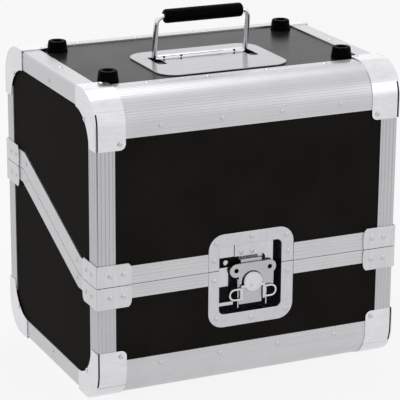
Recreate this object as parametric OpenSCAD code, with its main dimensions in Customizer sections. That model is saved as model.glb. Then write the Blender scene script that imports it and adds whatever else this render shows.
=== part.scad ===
// Carrying case for twelve-inch records: plywood panels in aluminium edge trims, a lid that
// splits from the base on a line that climbs from front to back, a recessed turn latch in
// front, a folding bail handle and four rubber feet on top. Millimetres, +Z up, the front
// faces -Y, and the origin is on the floor under the middle of the case.

/* [Case] */
// Width over the edge trims
case_w = 380; // [340:5:440]
// Depth over the edge trims, front to back
case_d = 291; // [250:5:380]
// Height over the edge trims
case_h = 363; // [335:5:420]
// Thickness of the laminated plywood
panel_t = 9; // [6:0.5:12]
// Height of the parting line at the front, above the bottom trims
front_seam = 141.6; // [128:0.2:170]
// Height of the parting line at the back, above the bottom trims
back_seam = 216.5; // [200:1:250]
// Level stretch of the parting line on the sides, from the front and back faces
seam_level = 55; // [46:1:70]
// Gap between the lid and the base
seam_gap = 0.6; // [0.4:0.1:1]

/* [Edge trims] */
// Sheet thickness of the trims
trim_t = 1.5; // [1:0.1:2.5]
// Leg of the flat corner trims
trim_leg = 22.4; // [18:0.2:30]
// Rounding of the flat trims' outer edge
trim_edge_r = 3; // [1:0.5:4]
// Outer radius of the big rounded edges
round_r = 38; // [25:1:42]
// Reach of the rounded trims down the front and back
round_reach = 50.5; // [46:0.5:60]
// Reach of the rounded trims over the top and bottom
round_over = 47; // [44:0.5:56]
// Height of the lid's closing profile
band_up = 21.8; // [18:0.2:28]
// Height of the base's closing profile
band_down = 16.6; // [14:0.2:24]
// Height of the closing profiles' inner leg
rim_inner_h = 12; // [8:1:14]
// Thickness of the closing profiles' web
rim_web_t = 2; // [1.5:0.1:3]
// Height of the sealing tongue on the base
tongue_h = 3; // [2:0.1:4]
// Thickness of the sealing tongue
tongue_t = 2.4; // [1.6:0.1:3]
// Room on each side of the tongue in the lid's groove
tongue_play = 1.3; // [1:0.1:1.6]

/* [Corners] */
// Sheet thickness of the corner caps
cap_t = 1.2; // [1:0.1:2]
// Width of a cap along the rounded edge
cap_w = 35; // [30:0.5:35.5]
// Reach of a cap down the front or back
cap_down = 63; // [56:1:75]
// Reach of a cap over the top or bottom
cap_over = 58; // [52:1:58]
// Radius of the hollow edge of a cap's side flange
cap_hollow_r = 41.5; // [36:0.5:44]
// Corner radius of a cap's tabs
cap_tab_r = 7; // [2:1:10]
// Slit between a cap's front strip and its side flange
cap_slit = 1.5; // [1:0.1:2.5]
// Sheet thickness of the split corner brackets
bracket_t = 1.6; // [1.2:0.1:2.5]
// Leg of a bracket
bracket_leg = 41; // [36:1:50]
// Height of each half bracket
bracket_h = 26; // [24:0.5:32]
// Bevel at the bracket's corners
bracket_bevel = 2.5; // [1:0.5:5]

/* [Rivets] */
// Radius of a rivet head
rivet_r = 3; // [2:0.1:4]
// Height of a rivet head
rivet_h = 1.1; // [0.6:0.1:1.1]
// Distance of the trim rivets from the outer faces
rivet_inset = 40; // [39:0.5:44]
// Spacing of the rivets along the rounded trims
rivet_pitch = 75; // [60:1:80]

/* [Feet] */
// Radius of a foot at its base
foot_r = 12.4; // [10:0.1:13]
// Radius of a foot at its top
foot_top_r = 10.6; // [8:0.1:12]
// Height of a foot above the panel
foot_h = 13; // [10:0.5:18]
// Radius of the screw recess
foot_hole_r = 5.5; // [3:0.1:7]
// Distance of the feet from the left and right faces
foot_inset_x = 41.5; // [41:0.5:80]
// Distance of the feet from the front and back faces
foot_inset_y = 66; // [65:0.5:100]

/* [Handle] */
// Handle right of the middle of the case
handle_x = -2.4; // [-5:0.1:5]
// Bail axis behind the middle of the case
handle_y = -8; // [-15:1:5]
// Width of the handle plate
plate_w = 165; // [150:1:180]
// Gap between the front trim and the plate
plate_gap = 9; // [4:0.5:30]
// Reach of the plate behind the bail axis
plate_back = 35.5; // [25:0.5:50]
// Corner radius of the plate
plate_r = 24; // [10:1:26]
// Sheet thickness of the plate
plate_t = 1.8; // [1:0.1:2]
// Width of the slots for the bail's legs
slot_w = 11; // [8:0.5:14]
// Reach of the slots in front of the bail axis
slot_front = 28; // [20:1:40]
// Reach of the slots behind the bail axis
slot_back = 8; // [6:0.5:12]
// Radius of the rolled barrel
barrel_r = 4.6; // [4.2:0.1:5.5]
// Height of the bail axis above the panel
bail_axis_h = 1; // [0.8:0.1:4]
// Depth of the panel's pocket under the barrel
pocket_depth = 4.4; // [4:0.1:6]
// Reach of the pocket in front of the bail axis
pocket_front = 13; // [12:0.5:20]
// Radius of the bail wire
wire_r = 3; // [2.5:0.1:3.2]
// Half the distance between the bail legs
bail_half = 59; // [56:0.5:64]
// Distance of the grip's axis from the bail axis
bail_rise = 53; // [44:1:60]
// Forward tilt of the bail at rest
bail_tilt = 9; // [0:1:20]
// Length of the bail's ends in the barrel
bail_stub = 28; // [15:1:45]
// Bend radius of the bail corners
bail_bend_r = 9; // [6:0.5:12]
// Running clearance of pins and wires in their bores
running = 0.05; // [0.02:0.01:0.08]
// Length of the grip
grip_l = 99.5; // [90:0.5:100]
// Radius of the grip
grip_r = 8.3; // [7:0.1:9]
// Rounding of the grip's ends
grip_end_r = 3; // [1:0.5:4]

/* [Latch] */
// Latch flange right of the middle
latch_x = 1.8; // [-3:0.1:4]
// Width of the latch dish over its flange
latch_w = 108.8; // [106:0.2:120]
// Top of the latch dish above the front parting line
latch_up = 43.6; // [42:0.2:52]
// Bottom of the latch dish below the front parting line
latch_down = 70; // [68:0.5:78]
// Corner radius of the latch dish's flange
latch_r = 19; // [10:1:22]
// Recess right of the middle
recess_x = 0.9; // [0.6:0.1:2]
// Width of the recess
recess_w = 79.8; // [79.4:0.2:84]
// Top of the recess above the front parting line
recess_up = 28.6; // [27:0.2:34]
// Bottom of the recess below the front parting line
recess_down = 54.2; // [54.2:0.2:58]
// Corner radius of the recess
recess_r = 6.6; // [3:0.2:9]
// Wall of the recess
recess_t = 1.2; // [1:0.1:1.5]
// Distance of the latch's upper and lower rivets from the flange's edge
flange_rivet_inset = 6.7; // [5:0.1:8]
// Distance of the latch's corner rivets from the flange's sides
flange_corner_x = 9.6; // [8:0.1:12]
// Distance of the latch's corner rivets from the flange's top and bottom
flange_corner_z = 11; // [9:0.5:13]
// Distance of the latch's side rivets from the parting line
flange_side_z = 12; // [8:0.5:16]
// Turn axis right of the middle
turn_x = 5.2; // [4.8:0.1:5.4]
// Turn axis below the front parting line
turn_drop = 19.2; // [18.6:0.1:19.3]
// Radius of the turn disc
disc_r = 11.8; // [11.4:0.1:12.4]
// Radius of the turn shaft
shaft_r = 4; // [3:0.1:4.5]
// Radius of the cam that moves the hook plate
cam_r = 7; // [6.4:0.1:7.4]
// Offset of the cam, half the hook plate's travel
cam_throw = 1.8; // [1.5:0.1:2]
// Radius of the hook plate's arch round the disc
arch_r = 13.2; // [12.6:0.1:14]
// Left side of the hook plate's body from the turn axis
hook_left = 17; // [15:0.2:18]
// Right side of the hook plate's body from the turn axis
hook_right = 12.6; // [12:0.2:16]
// Bottom of the hook plate below the turn axis
hook_low = 27.4; // [20:0.2:29]
// Left ear of the hook plate from the turn axis
ear_left = 20.2; // [18:0.2:22]
// Right ear of the hook plate from the turn axis
ear_right = 22.8; // [20:0.2:25]
// Height of the ears above the turn axis
ear_rise = 14.3; // [13.8:0.1:14.6]
// Radius of the ears
ear_r = 8.2; // [7:0.1:8.4]
// Radius of the holes in the ears
ear_hole_r = 2.8; // [2:0.1:4]
// Right side of the apron under the right ear, from the turn axis
apron_right = 27.8; // [25:0.2:30]
// Bottom of the apron below the turn axis
apron_low = 7.8; // [4:0.2:10]
// Half length of the tongue
tongue_half = 13.4; // [10:0.2:14]
// Left side of the keeper from the turn axis
keeper_left = 20.6; // [18:0.2:22]
// Right side of the keeper from the turn axis
keeper_right = 29; // [27:0.2:31]
// Top of the keeper's slot above the parting line
keeper_slot = 11.1; // [10.8:0.1:14]
// Right end of the keeper's slot from the turn axis
keeper_slot_right = 18.8; // [16:0.2:21]
// Radius of the slot's corner
keeper_slot_r = 5; // [2:0.5:6]
// Half width of the latch housing
housing_half = 24; // [22:0.5:26]
// Bottom of the latch housing below the turn axis
housing_low = 31; // [30:0.5:34]
// Radius of the rings on the wings
ring_r = 7.4; // [6:0.1:7.6]
// Width of the wings' strip round the finger hole
ring_band = 2.2; // [1.5:0.1:3]
// Distance of the rings from the wings' hinge lines
ring_out = 9.1; // [8:0.1:9.3]
// Middle of the wings below the turn axis
wing_drop = 14; // [12:0.5:14]
// Distance of the wings' hinge lines from the turn axis
wing_hinge = 14.2; // [13.6:0.1:14.4]

/* [Hinges] */
// Hinges from the middle of the case
hinge_x = 110; // [80:1:120]
// Half length of a hinge knuckle pair
hinge_half = 19; // [15:1:25]
// Radius of a hinge knuckle
knuckle_r = 4.2; // [3.6:0.1:5]
// Radius of the hinge pin
pin_r = 2.5; // [2:0.1:3]
// Height of each hinge leaf
leaf_h = 34; // [26:1:40]
// Thickness of a hinge leaf
leaf_t = 1.6; // [1.2:0.1:2]

/* [Lining] */
// Foam on the floor and under the lid
pad_floor_t = 10; // [5:1:15]
// Foam on the side walls
pad_side_t = 10; // [5:1:15]
// Foam on the front and back walls
pad_wall_t = 5; // [3:1:8]

/* [Hidden] */
// Fineness of round shapes
$fn = 64;

// Outer faces of the case
hw = case_w / 2;
hd = case_d / 2;
// The case stands on its bottom caps
z_low = cap_t;
z_top = z_low + case_h;
// Faces of the panels
skin_x = hw - trim_t;
skin_y = hd - trim_t;
in_x = skin_x - panel_t;
in_y = skin_y - panel_t;
rim_d = 2 * trim_t + panel_t;
// Parting line on a side wall, as points of depth and height
z_front = z_low + front_seam;
z_back = z_low + back_seam;
bend_y = hd - seam_level;
slope = atan((z_back - z_front) / (2 * bend_y));
// A level shift of the bends keeps the strip's width square to the slope
bend_shift = tan(slope / 2);
half_gap = seam_gap / 2;
web = rim_web_t + half_gap;
// Groove in the lid's web
groove_h = tongue_h + tongue_play;
lid_web = groove_h + rim_web_t;
// Deep enough to pass through whatever a cutter meets
far = 600;
// Clearances
fit_gap = 0.3;
// Levels in the latch, back from the flange's front
turn_z = z_front - turn_drop;
head_front = 0.4;
head_t = 2.4;
wing_t = 1.5;
wing_axis = 2;
plate_level = 4.2;
hook_t = 1.8;
keeper_level = plate_level + hook_t + 3.2;
keeper_t = 1.5;
latch_depth = trim_t + panel_t + pad_wall_t;
recess_floor = latch_depth - recess_t;
// Other sizes in the latch
cam_play = 0.7;
guide_gap = 0.4;
cheek_t = 1.4;
housing_t = 2;
bush_wall = 2.5;
bush_l = 5.5;
lug_t = 2.4;
lug_h = 3;
knuckle_w = 1.5;
wing_pin_r = 0.7;
wing_pin_head = 1.2;
bar_t = 1.8;
// Keeper: clearances, and the stop plate and knob beside it
keeper_rise = 0.2;
keeper_head = 1.5;
keeper_back_t = 0.8;
stop_rise = 0.5;
stop_gap = 0.8;
stop_play = 0.1;
knob_in = 12.5;
knob_up = 5;
knob_r = 3.4;
wall_x = recess_x - recess_w / 2;
// Housing: top below the parting line, cheeks, stop block and foot, from the turn axis
housing_drop = 2;
cheek_level = plate_level - 0.2;
cheek_up = 4;
cheek_down = apron_low + 1;
block_x = wall_x - turn_x;
block_right = 28.8;
flank_right = 22.4;
block_low = 4.5;
block_drop = 0.4;
foot_right = 22;
foot_low = 28.2;
foot_high = 24;
// Turn disc: its pip, and the lugs and heads of the wings' pins
pip_x = 2;
pip_low = 4;
pip_r = 1.6;
lug_in = 2;
lug_thin = 0.4;
pin_head_h = 1;
// Hook plate: bridge between the ears, riser, bar in front of the keeper and its lip
bridge_low = 5;
arch_low = 1;
arch_side = 5;
riser_h = 3;
riser_level = 0.5;
bar_up = 3.9;
lip_in = 1;
lip_low = 0.6;
lip_high = 2.8;
lip_back = 3.2;
// Hinge axis
hinge_y = hd + knuckle_r + 0.5;
// Notches behind the handle's barrel, from its middle
notch_xs = [-26, 22];
notch_w = 12;
notch_d = 5;
// Bail axis, the barrel's half length, and the panel that carries the handle
panel_top = z_top - trim_t;
bail_z = panel_top + bail_axis_h;
barrel_half = bail_half - wire_r - 1.2;

// ---- outlines on a side wall, drawn as depth and height ----

// Side profile of the case with its rounded edges, drawn in by t
module side_profile(t) {
  r = round_r - t;
  y = hd - round_r;
  for (s = [-1, 1], z = [z_low + round_r, z_top - round_r])
    translate([s * y, z])
      circle(r);
  translate([-hd + t, z_low + round_r])
    square([case_d - 2 * t, case_h - 2 * round_r]);
  translate([-y, z_low + t])
    square([2 * y, case_h - 2 * t]);
}

// Points of the parting line moved up by v
function seam_line(v) = [
  [-hd - 1, z_front + v],
  [-bend_y - v * bend_shift, z_front + v],
  [bend_y - v * bend_shift, z_back + v],
  [hd + 1, z_back + v]
];

// Strip between two lines parallel to the parting line
module seam_strip(v_low, v_high) {
  up = seam_line(v_high);
  low = seam_line(v_low);
  polygon([low[0], low[1], low[2], low[3], up[3], up[2], up[1], up[0]]);
}

// Everything above or below the parting line
module above_seam(v) {
  p = seam_line(v);
  polygon([p[0], p[1], p[2], p[3], [hd + 1, z_top + 10], [-hd - 1, z_top + 10]]);
}

module below_seam(v) {
  p = seam_line(v);
  polygon([p[0], p[1], p[2], p[3], [hd + 1, z_low - 10], [-hd - 1, z_low - 10]]);
}

// Extrudes a depth-and-height outline along X, from x0 to x1
module along_x(x0, x1) {
  translate([x0, 0, 0])
    rotate([90, 0, 90])
      linear_extrude(x1 - x0)
        children();
}

// Extrudes a width-and-height outline along Y, from y0 to y1
module along_y(y0, y1) {
  translate([0, y1, 0])
    rotate([90, 0, 0])
      linear_extrude(y1 - y0)
        children();
}

// Box from one corner to the other
module box(a, b) {
  translate(a)
    cube(b - a);
}

// Mirrors its children to the side given by -1 or 1
module side_x(s) {
  mirror([s > 0 ? 1 : 0, 0, 0])
    children();
}

module side_y(s) {
  mirror([0, s > 0 ? 1 : 0, 0])
    children();
}

// Turns a piece of the top into one of the bottom
module bottom_up() {
  translate([0, 0, z_low + z_top])
    mirror([0, 0, 1])
      children();
}

// Rounded rectangle between two corners
module rounded(a, b, r) {
  translate([a[0] + r, a[1]])
    square([b[0] - a[0] - 2 * r, b[1] - a[1]]);
  translate([a[0], a[1] + r])
    square([b[0] - a[0], b[1] - a[1] - 2 * r]);
  for (x = [a[0] + r, b[0] - r], y = [a[1] + r, b[1] - r])
    translate([x, y])
      circle(r);
}

// ---- panels ----

module side_panel(s) {
  color([0.12, 0.12, 0.11])
    side_x(s)
      along_x(-skin_x, -in_x)
        intersection() {
          side_profile(trim_t);
          children();
        }
}

module wall_panel(s, z0, z1) {
  color([0.12, 0.12, 0.11])
    side_y(s)
      box([-in_x, -skin_y, z0], [in_x, -in_y, z1]);
}

module base_left_panel() {
  side_panel(-1)
    below_seam(-web);
}

module base_right_panel() {
  side_panel(1)
    below_seam(-web);
}

module lid_left_panel() {
  side_panel(-1)
    above_seam(half_gap + lid_web);
}

module lid_right_panel() {
  side_panel(1)
    above_seam(half_gap + lid_web);
}

module base_floor_panel() {
  color([0.12, 0.12, 0.11])
    box([-in_x, round_r - hd, z_low + trim_t], [in_x, hd - round_r, z_low + trim_t + panel_t]);
}

module base_back_panel() {
  wall_panel(1, z_low + round_r, z_back - web);
}

module lid_back_panel() {
  wall_panel(1, z_back + half_gap + lid_web, z_top - round_r);
}

// Outline of the recess, grown by extra
module recess_outline(extra) {
  rounded([recess_x - recess_w / 2 - extra, z_front - recess_down - extra],
          [recess_x + recess_w / 2 + extra, z_front + recess_up + extra], recess_r + extra);
}

// Opening for the latch recess in the front wall
module recess_hole(extra) {
  grow = recess_t + extra;
  along_y(-hd - 1, -in_y + pad_wall_t + 1)
    translate([recess_x - recess_w / 2 - grow, z_front - recess_down - grow])
      square([recess_w + 2 * grow, recess_down + recess_up + 2 * grow]);
}

// Outline of the whole latch flange, grown by extra
module flange_outline(extra) {
  rounded([latch_x - latch_w / 2 - extra, z_front - latch_down - extra],
          [latch_x + latch_w / 2 + extra, z_front + latch_up + extra], latch_r + extra);
}

module base_front_panel() {
  difference() {
    wall_panel(-1, z_low + round_r, z_front - web);
    recess_hole(fit_gap);
  }
}

module lid_front_panel() {
  difference() {
    wall_panel(-1, z_front + half_gap + lid_web, z_top - round_r);
    recess_hole(fit_gap);
  }
}

// Top panel, with a pocket for the handle's barrel and the feet of its bail
module lid_top_panel() {
  pocket_x = bail_half + slot_w / 2;
  color([0.2, 0.2, 0.21])
    difference() {
      box([-in_x, round_r - hd, panel_top - panel_t], [in_x, hd - round_r, panel_top]);
      box([handle_x - pocket_x, handle_y - pocket_front, panel_top - pocket_depth],
          [handle_x + pocket_x, handle_y + slot_back, panel_top + 1]);
    }
}

// ---- edge trims ----

// Hollow rounded trim of the front top edge: two skins with the panels' edges between them
module rounded_trim_outline() {
  cy = round_r - hd;
  cz = z_top - round_r;
  r_in = round_r - rim_d;
  difference() {
    union() {
      intersection() {
        translate([cy, cz])
          circle(round_r);
        translate([-hd, cz])
          square(round_r);
      }
      translate([-hd, z_top - round_reach])
        square([rim_d, round_reach - round_r]);
      translate([cy, z_top - rim_d])
        square([round_over - round_r, rim_d]);
    }
    // hollow inside
    translate([cy, cz])
      circle(r_in);
    // slots for the panels
    translate([-hd + trim_t, z_top - round_reach - 1])
      square([panel_t, round_reach - round_r + 1]);
    translate([cy, z_top - trim_t - panel_t])
      square([round_over, panel_t]);
    // cavity between the skins
    intersection() {
      difference() {
        translate([cy, cz])
          circle(round_r - trim_t);
        translate([cy, cz])
          circle(r_in + trim_t);
      }
      translate([-hd, cz + trim_t])
        square(round_r - trim_t);
    }
  }
}

module rounded_trim(s) {
  color([0.78, 0.78, 0.8])
    side_y(s)
      along_x(-in_x, in_x)
        rounded_trim_outline();
}

// Flat angle trim, its two legs along +Y and +X from the corner, with a rounded outer edge
module angle_outline() {
  difference() {
    union() {
      translate([trim_edge_r, 0])
        square([trim_leg - trim_edge_r, trim_t]);
      translate([0, trim_edge_r])
        square([trim_t, trim_leg - trim_edge_r]);
      translate([trim_edge_r, trim_edge_r])
        circle(trim_edge_r);
    }
    translate([trim_t, trim_t])
      square(trim_leg);
  }
}

// Flat trim along the left top edge, between the rounded trims
module side_top_trim(s) {
  color([0.78, 0.78, 0.8])
    side_x(s)
      translate([-hw, hd - round_over, z_top])
        rotate([90, 0, 0])
          linear_extrude(case_d - 2 * round_over)
            mirror([0, 1, 0])
              angle_outline();
}

// Upright trim of the front left corner
module post(sx, sy, z0, z1) {
  color([0.78, 0.78, 0.8])
    side_x(sx)
      side_y(sy)
        translate([-hw, -hd, z0])
          linear_extrude(z1 - z0)
            angle_outline();
}

module base_post(sx, sy) {
  seam = sy < 0 ? z_front : z_back;
  post(sx, sy, z_low + round_reach, seam - band_down);
}

module lid_post(sx, sy) {
  seam = sy < 0 ? z_front : z_back;
  post(sx, sy, seam + band_up, z_top - round_reach);
}

module lid_top_front_trim() {
  rounded_trim(-1);
}

module lid_top_back_trim() {
  rounded_trim(1);
}

module base_bottom_front_trim() {
  bottom_up()
    rounded_trim(-1);
}

module base_bottom_back_trim() {
  bottom_up()
    rounded_trim(1);
}

module lid_top_left_trim() {
  side_top_trim(-1);
}

module lid_top_right_trim() {
  side_top_trim(1);
}

module base_bottom_left_trim() {
  bottom_up()
    side_top_trim(-1);
}

module base_bottom_right_trim() {
  bottom_up()
    side_top_trim(1);
}

module base_front_left_post() {
  base_post(-1, -1);
}

module base_front_right_post() {
  base_post(1, -1);
}

module base_back_left_post() {
  base_post(-1, 1);
}

module base_back_right_post() {
  base_post(1, 1);
}

module lid_front_left_post() {
  lid_post(-1, -1);
}

module lid_front_right_post() {
  lid_post(1, -1);
}

module lid_back_left_post() {
  lid_post(-1, 1);
}

module lid_back_right_post() {
  lid_post(1, 1);
}

// ---- closing profiles ----

// Middle of the profile's thickness, where the tongue stands
tongue_in = rim_d / 2;

// Side profile: outer skin, web and inner skin along the parting line
module base_side_rim(s) {
  color([0.8, 0.8, 0.82])
    side_x(s) {
      along_x(-hw, -hw + trim_t)
        intersection() {
          seam_strip(-band_down, -half_gap);
          side_profile(0);
        }
      along_x(-hw, -hw + rim_d)
        intersection() {
          seam_strip(-web, -half_gap);
          side_profile(0);
        }
      along_x(-hw + rim_d - trim_t, -hw + rim_d)
        intersection() {
          seam_strip(-rim_inner_h, -half_gap);
          square([2 * (hd - rim_d), far], center = true);
        }
      along_x(-hw + tongue_in - tongue_t / 2, -hw + tongue_in + tongue_t / 2)
        intersection() {
          seam_strip(-web, tongue_h - half_gap);
          square([2 * (hd - rim_d), far], center = true);
        }
    }
}

module lid_side_rim(s) {
  color([0.8, 0.8, 0.82])
    side_x(s)
      difference() {
        union() {
          along_x(-hw, -hw + trim_t)
            intersection() {
              seam_strip(half_gap, band_up);
              side_profile(0);
            }
          along_x(-hw, -hw + rim_d)
            intersection() {
              seam_strip(half_gap, half_gap + lid_web);
              side_profile(0);
            }
          along_x(-hw + rim_d - trim_t, -hw + rim_d)
            intersection() {
              seam_strip(half_gap, half_gap + rim_inner_h);
              square([2 * (hd - rim_d), far], center = true);
            }
        }
        along_x(-hw + tongue_in - tongue_t / 2 - tongue_play,
                -hw + tongue_in + tongue_t / 2 + tongue_play)
          intersection() {
            seam_strip(half_gap - 1, half_gap + groove_h);
            square([2 * (hd - rim_d + tongue_play), far], center = true);
          }
      }
}

// Front or back profile between the side profiles
module base_wall_rim(s, seam) {
  x = hw - rim_d;
  color([0.8, 0.8, 0.82])
    side_y(s) {
      box([-skin_x, -hd, seam - band_down], [skin_x, -skin_y, seam - web]);
      box([-x, -hd, seam - web], [x, -hd + rim_d, seam - half_gap]);
      box([-x, -in_y, seam - rim_inner_h], [x, -hd + rim_d, seam - half_gap]);
    }
}

module lid_wall_rim(s, seam) {
  x = hw - rim_d;
  color([0.8, 0.8, 0.82])
    side_y(s) {
      box([-skin_x, -hd, seam + half_gap + lid_web], [skin_x, -skin_y, seam + band_up]);
      box([-x, -hd, seam + half_gap], [x, -hd + rim_d, seam + half_gap + lid_web]);
      box([-x, -in_y, seam + half_gap], [x, -hd + rim_d, seam + half_gap + rim_inner_h]);
    }
}

// What the latch takes out of the front profiles
module latch_cut() {
  recess_hole(fit_gap);
  along_y(-hd - 1, -skin_y)
    flange_outline(fit_gap);
}

module base_front_rim() {
  difference() {
    union() {
      base_wall_rim(-1, z_front);
      color([0.8, 0.8, 0.82])
        box([rim_d - hw, -hd + tongue_in - tongue_t / 2, z_front - web],
            [hw - rim_d, -hd + tongue_in + tongue_t / 2, z_front - half_gap + tongue_h]);
    }
    latch_cut();
  }
}

module base_back_rim() {
  base_wall_rim(1, z_back);
}

module base_left_rim() {
  base_side_rim(-1);
}

module base_right_rim() {
  base_side_rim(1);
}

module lid_front_rim() {
  difference() {
    lid_wall_rim(-1, z_front);
    latch_cut();
    box([-hw, -hd + tongue_in - tongue_t / 2 - tongue_play, z_front - 1],
        [hw, -hd + tongue_in + tongue_t / 2 + tongue_play, z_front + half_gap + groove_h]);
  }
}

module lid_back_rim() {
  lid_wall_rim(1, z_back);
}

module lid_left_rim() {
  lid_side_rim(-1);
}

module lid_right_rim() {
  lid_side_rim(1);
}

// ---- corner caps ----

// Rounded corner seen from the side, out to t beyond the faces; the corner is at the origin
module cap_block(t, over, down) {
  intersection() {
    translate([round_r, -round_r])
      circle(round_r + t);
    translate([-t, -round_r])
      square([round_r + t, round_r + t]);
  }
  translate([round_r, -down])
    square([over - round_r, down + t]);
  translate([-t, -down])
    square([over + t, down - round_r]);
}

// Rounds the free corner of a tab: the corner lies at the origin, the tab along -X and +Y
module tab_nick(r) {
  difference() {
    translate([-r, -1])
      square([r + 1, r + 1]);
    translate([-r, r])
      circle(r);
  }
}

// Cap of the front top left corner, with the case's corner at the origin
module corner_cap() {
  difference() {
    union() {
      along_x(-cap_t, cap_w)
        difference() {
          cap_block(cap_t, cap_over, cap_down);
          cap_block(0, cap_over + 1, cap_down + 1);
        }
      along_x(-cap_t, 0)
        difference() {
          cap_block(cap_t, cap_over, cap_down);
          translate([cap_over + 2, -cap_down - 2])
            circle(cap_hollow_r);
        }
    }
    // slit down the upright edge
    box([-cap_t - 1, -cap_t - 1, -cap_down - 1], [cap_slit - cap_t, 0, -round_r / 2]);
    // rounded tabs on the front and on the top
    translate([cap_w, 1, -cap_down])
      rotate([90, 0, 0])
        linear_extrude(cap_t + 2)
          tab_nick(cap_tab_r);
    translate([cap_w, cap_over, -1])
      mirror([0, 1, 0])
        linear_extrude(cap_t + 2)
          tab_nick(cap_tab_r);
  }
}

module top_caps() {
  color([0.85, 0.85, 0.87])
    for (sx = [-1, 1], sy = [-1, 1])
      side_x(sx)
        side_y(sy)
          translate([-hw, -hd, z_top])
            corner_cap();
}

module lid_corner_caps() {
  top_caps();
}

module base_corner_caps() {
  bottom_up()
    top_caps();
}

// ---- split corner brackets ----

// One leg of a half bracket: run and height, from the gap up
module bracket_leg_outline() {
  b = bracket_bevel;
  polygon([
    [-bracket_t, half_gap], [bracket_leg, half_gap], [bracket_leg, bracket_h / 2],
    [bracket_leg - b / 2, bracket_h - b], [bracket_leg - 1.5 * b, bracket_h],
    [-bracket_t, bracket_h]
  ]);
}

// Half bracket of the front left corner, above the parting line at the origin
module half_bracket() {
  along_y(-bracket_t, 0)
    bracket_leg_outline();
  along_x(-bracket_t, 0)
    bracket_leg_outline();
}

module brackets(up) {
  color([0.82, 0.82, 0.84])
    for (sx = [-1, 1], sy = [-1, 1])
      side_x(sx)
        side_y(sy)
          translate([-hw, -hd, sy < 0 ? z_front : z_back])
            mirror([0, 0, up ? 0 : 1])
              half_bracket();
}

module lid_corner_brackets() {
  brackets(true);
}

module base_corner_brackets() {
  brackets(false);
}

// ---- rivets ----

// Domed head on the floor at the origin, pointing up
module rivet() {
  sphere_r = (rivet_r * rivet_r + rivet_h * rivet_h) / (2 * rivet_h);
  rotate_extrude($fn = 32)
    intersection() {
      translate([0, rivet_h - sphere_r])
        circle(sphere_r, $fn = 96);
      square([rivet_r, rivet_h]);
    }
}

// Rivet on the front face, raised by lift from it
module front_rivet(x, z, lift) {
  translate([x, -hd - lift, z])
    rotate([90, 0, 0])
      rivet();
}

// Rivet on the left face
module left_rivet(y, z, lift) {
  translate([-hw - lift, y, z])
    rotate([0, -90, 0])
      rivet();
}

// Rivets that a corner of the lid or the base has: cap, trims and bracket of the front left
module trim_row_rivets() {
  for (i = [-1.5, -0.5, 0.5, 1.5]) {
    front_rivet(i * rivet_pitch, z_top - rivet_inset, 0);
    translate([i * rivet_pitch, -hd + rivet_inset, z_top])
      rivet();
  }
}

// The underside has no rivet on its tab, because the caps stand on the floor
module cap_rivets(on_tab) {
  x = -hw + cap_w - cap_tab_r;
  front_rivet(x, z_top - cap_down + cap_tab_r, cap_t);
  left_rivet(-hd + round_r - 6, z_top - round_r + 6, cap_t);
  if (on_tab)
    translate([x, -hd + cap_over - rivet_r - 1, z_top + cap_t])
      rivet();
}

// Rivets near the top edges; the same set upside down serves the bottom
module edge_rivets(on_tab) {
  for (sy = [-1, 1])
    side_y(sy) {
      trim_row_rivets();
      for (sx = [-1, 1])
        side_x(sx)
          cap_rivets(on_tab);
    }
  for (sx = [-1, 1])
    side_x(sx) {
      left_rivet(0, z_top - trim_leg / 2 - 3, 0);
      translate([-hw + trim_leg / 2 + 3, 0, z_top])
        rivet();
    }
}

// Rivets of the half brackets, up or down from the parting line
module bracket_rivets(dir) {
  for (sx = [-1, 1], sy = [-1, 1])
    side_x(sx)
      side_y(sy) {
        z = (sy < 0 ? z_front : z_back) + dir * bracket_h / 2;
        for (run = [15, 31]) {
          front_rivet(-hw + run, z, bracket_t);
          left_rivet(-hd + run, z, bracket_t);
        }
      }
}

// Rivets at the ends of the slanted strips, at the height v from the parting line
module strip_rivets(v) {
  for (sx = [-1, 1])
    side_x(sx)
      for (y = [-1, 1] * (bend_y - 8))
        left_rivet(y, (z_front + z_back) / 2 + y * tan(slope) + v / cos(slope), 0);
}

// Rivets of the latch flange: up for the lid's half, down for the base's
module latch_rivets(dir) {
  edge = z_front + (dir > 0 ? latch_up : -latch_down);
  front_rivet(latch_x, edge - dir * flange_rivet_inset, 0);
  for (s = [-1, 1]) {
    front_rivet(latch_x + s * (latch_w / 2 - flange_corner_x), edge - dir * flange_corner_z, 0);
    // midway between the flange's side and the recess
    front_rivet((latch_x + recess_x + s * (latch_w + recess_w) / 2) / 2,
                z_front + dir * flange_side_z, 0);
  }
}

// Rivets of the hinge leaves on the back face
module hinge_rivets(dir) {
  for (sx = [-1, 1], dx = [-0.62, 0.62])
    side_y(1)
      front_rivet(sx * hinge_x + dx * hinge_half, z_back + dir * (leaf_h - 7), leaf_t);
}

module lid_rivets() {
  color([0.9, 0.9, 0.92]) {
    edge_rivets(true);
    bracket_rivets(1);
    strip_rivets(band_up / 2);
    latch_rivets(1);
    hinge_rivets(1);
  }
}

module base_rivets() {
  color([0.9, 0.9, 0.92]) {
    bottom_up()
      edge_rivets(false);
    bracket_rivets(-1);
    strip_rivets(-band_down / 2);
    latch_rivets(-1);
    hinge_rivets(-1);
  }
}

// ---- feet ----

module foot() {
  difference() {
    rotate_extrude()
      polygon([[0, 0], [foot_r, 0], [foot_r, 1.5], [foot_top_r, foot_h], [0, foot_h]]);
    translate([0, 0, 3])
      cylinder(h = foot_h, r = foot_hole_r);
  }
}

module lid_feet() {
  color([0.03, 0.03, 0.03])
    for (sx = [-1, 1], sy = [-1, 1])
      translate([sx * (hw - foot_inset_x), sy * (hd - foot_inset_y), panel_top])
        foot();
}

// ---- lining ----

// Cut of a side pad: clear of the rounded trims' inner skins and of the closing profiles
module pad_profile() {
  d = hd - rim_d - 1;
  c = round_r - rim_d;
  low = z_low + rim_d + 1;
  high = z_top - rim_d - 1;
  polygon([
    [-d, low + c], [-d + c, low], [d - c, low], [d, low + c],
    [d, high - c], [d - c, high], [-d + c, high], [-d, high - c]
  ]);
}

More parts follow.
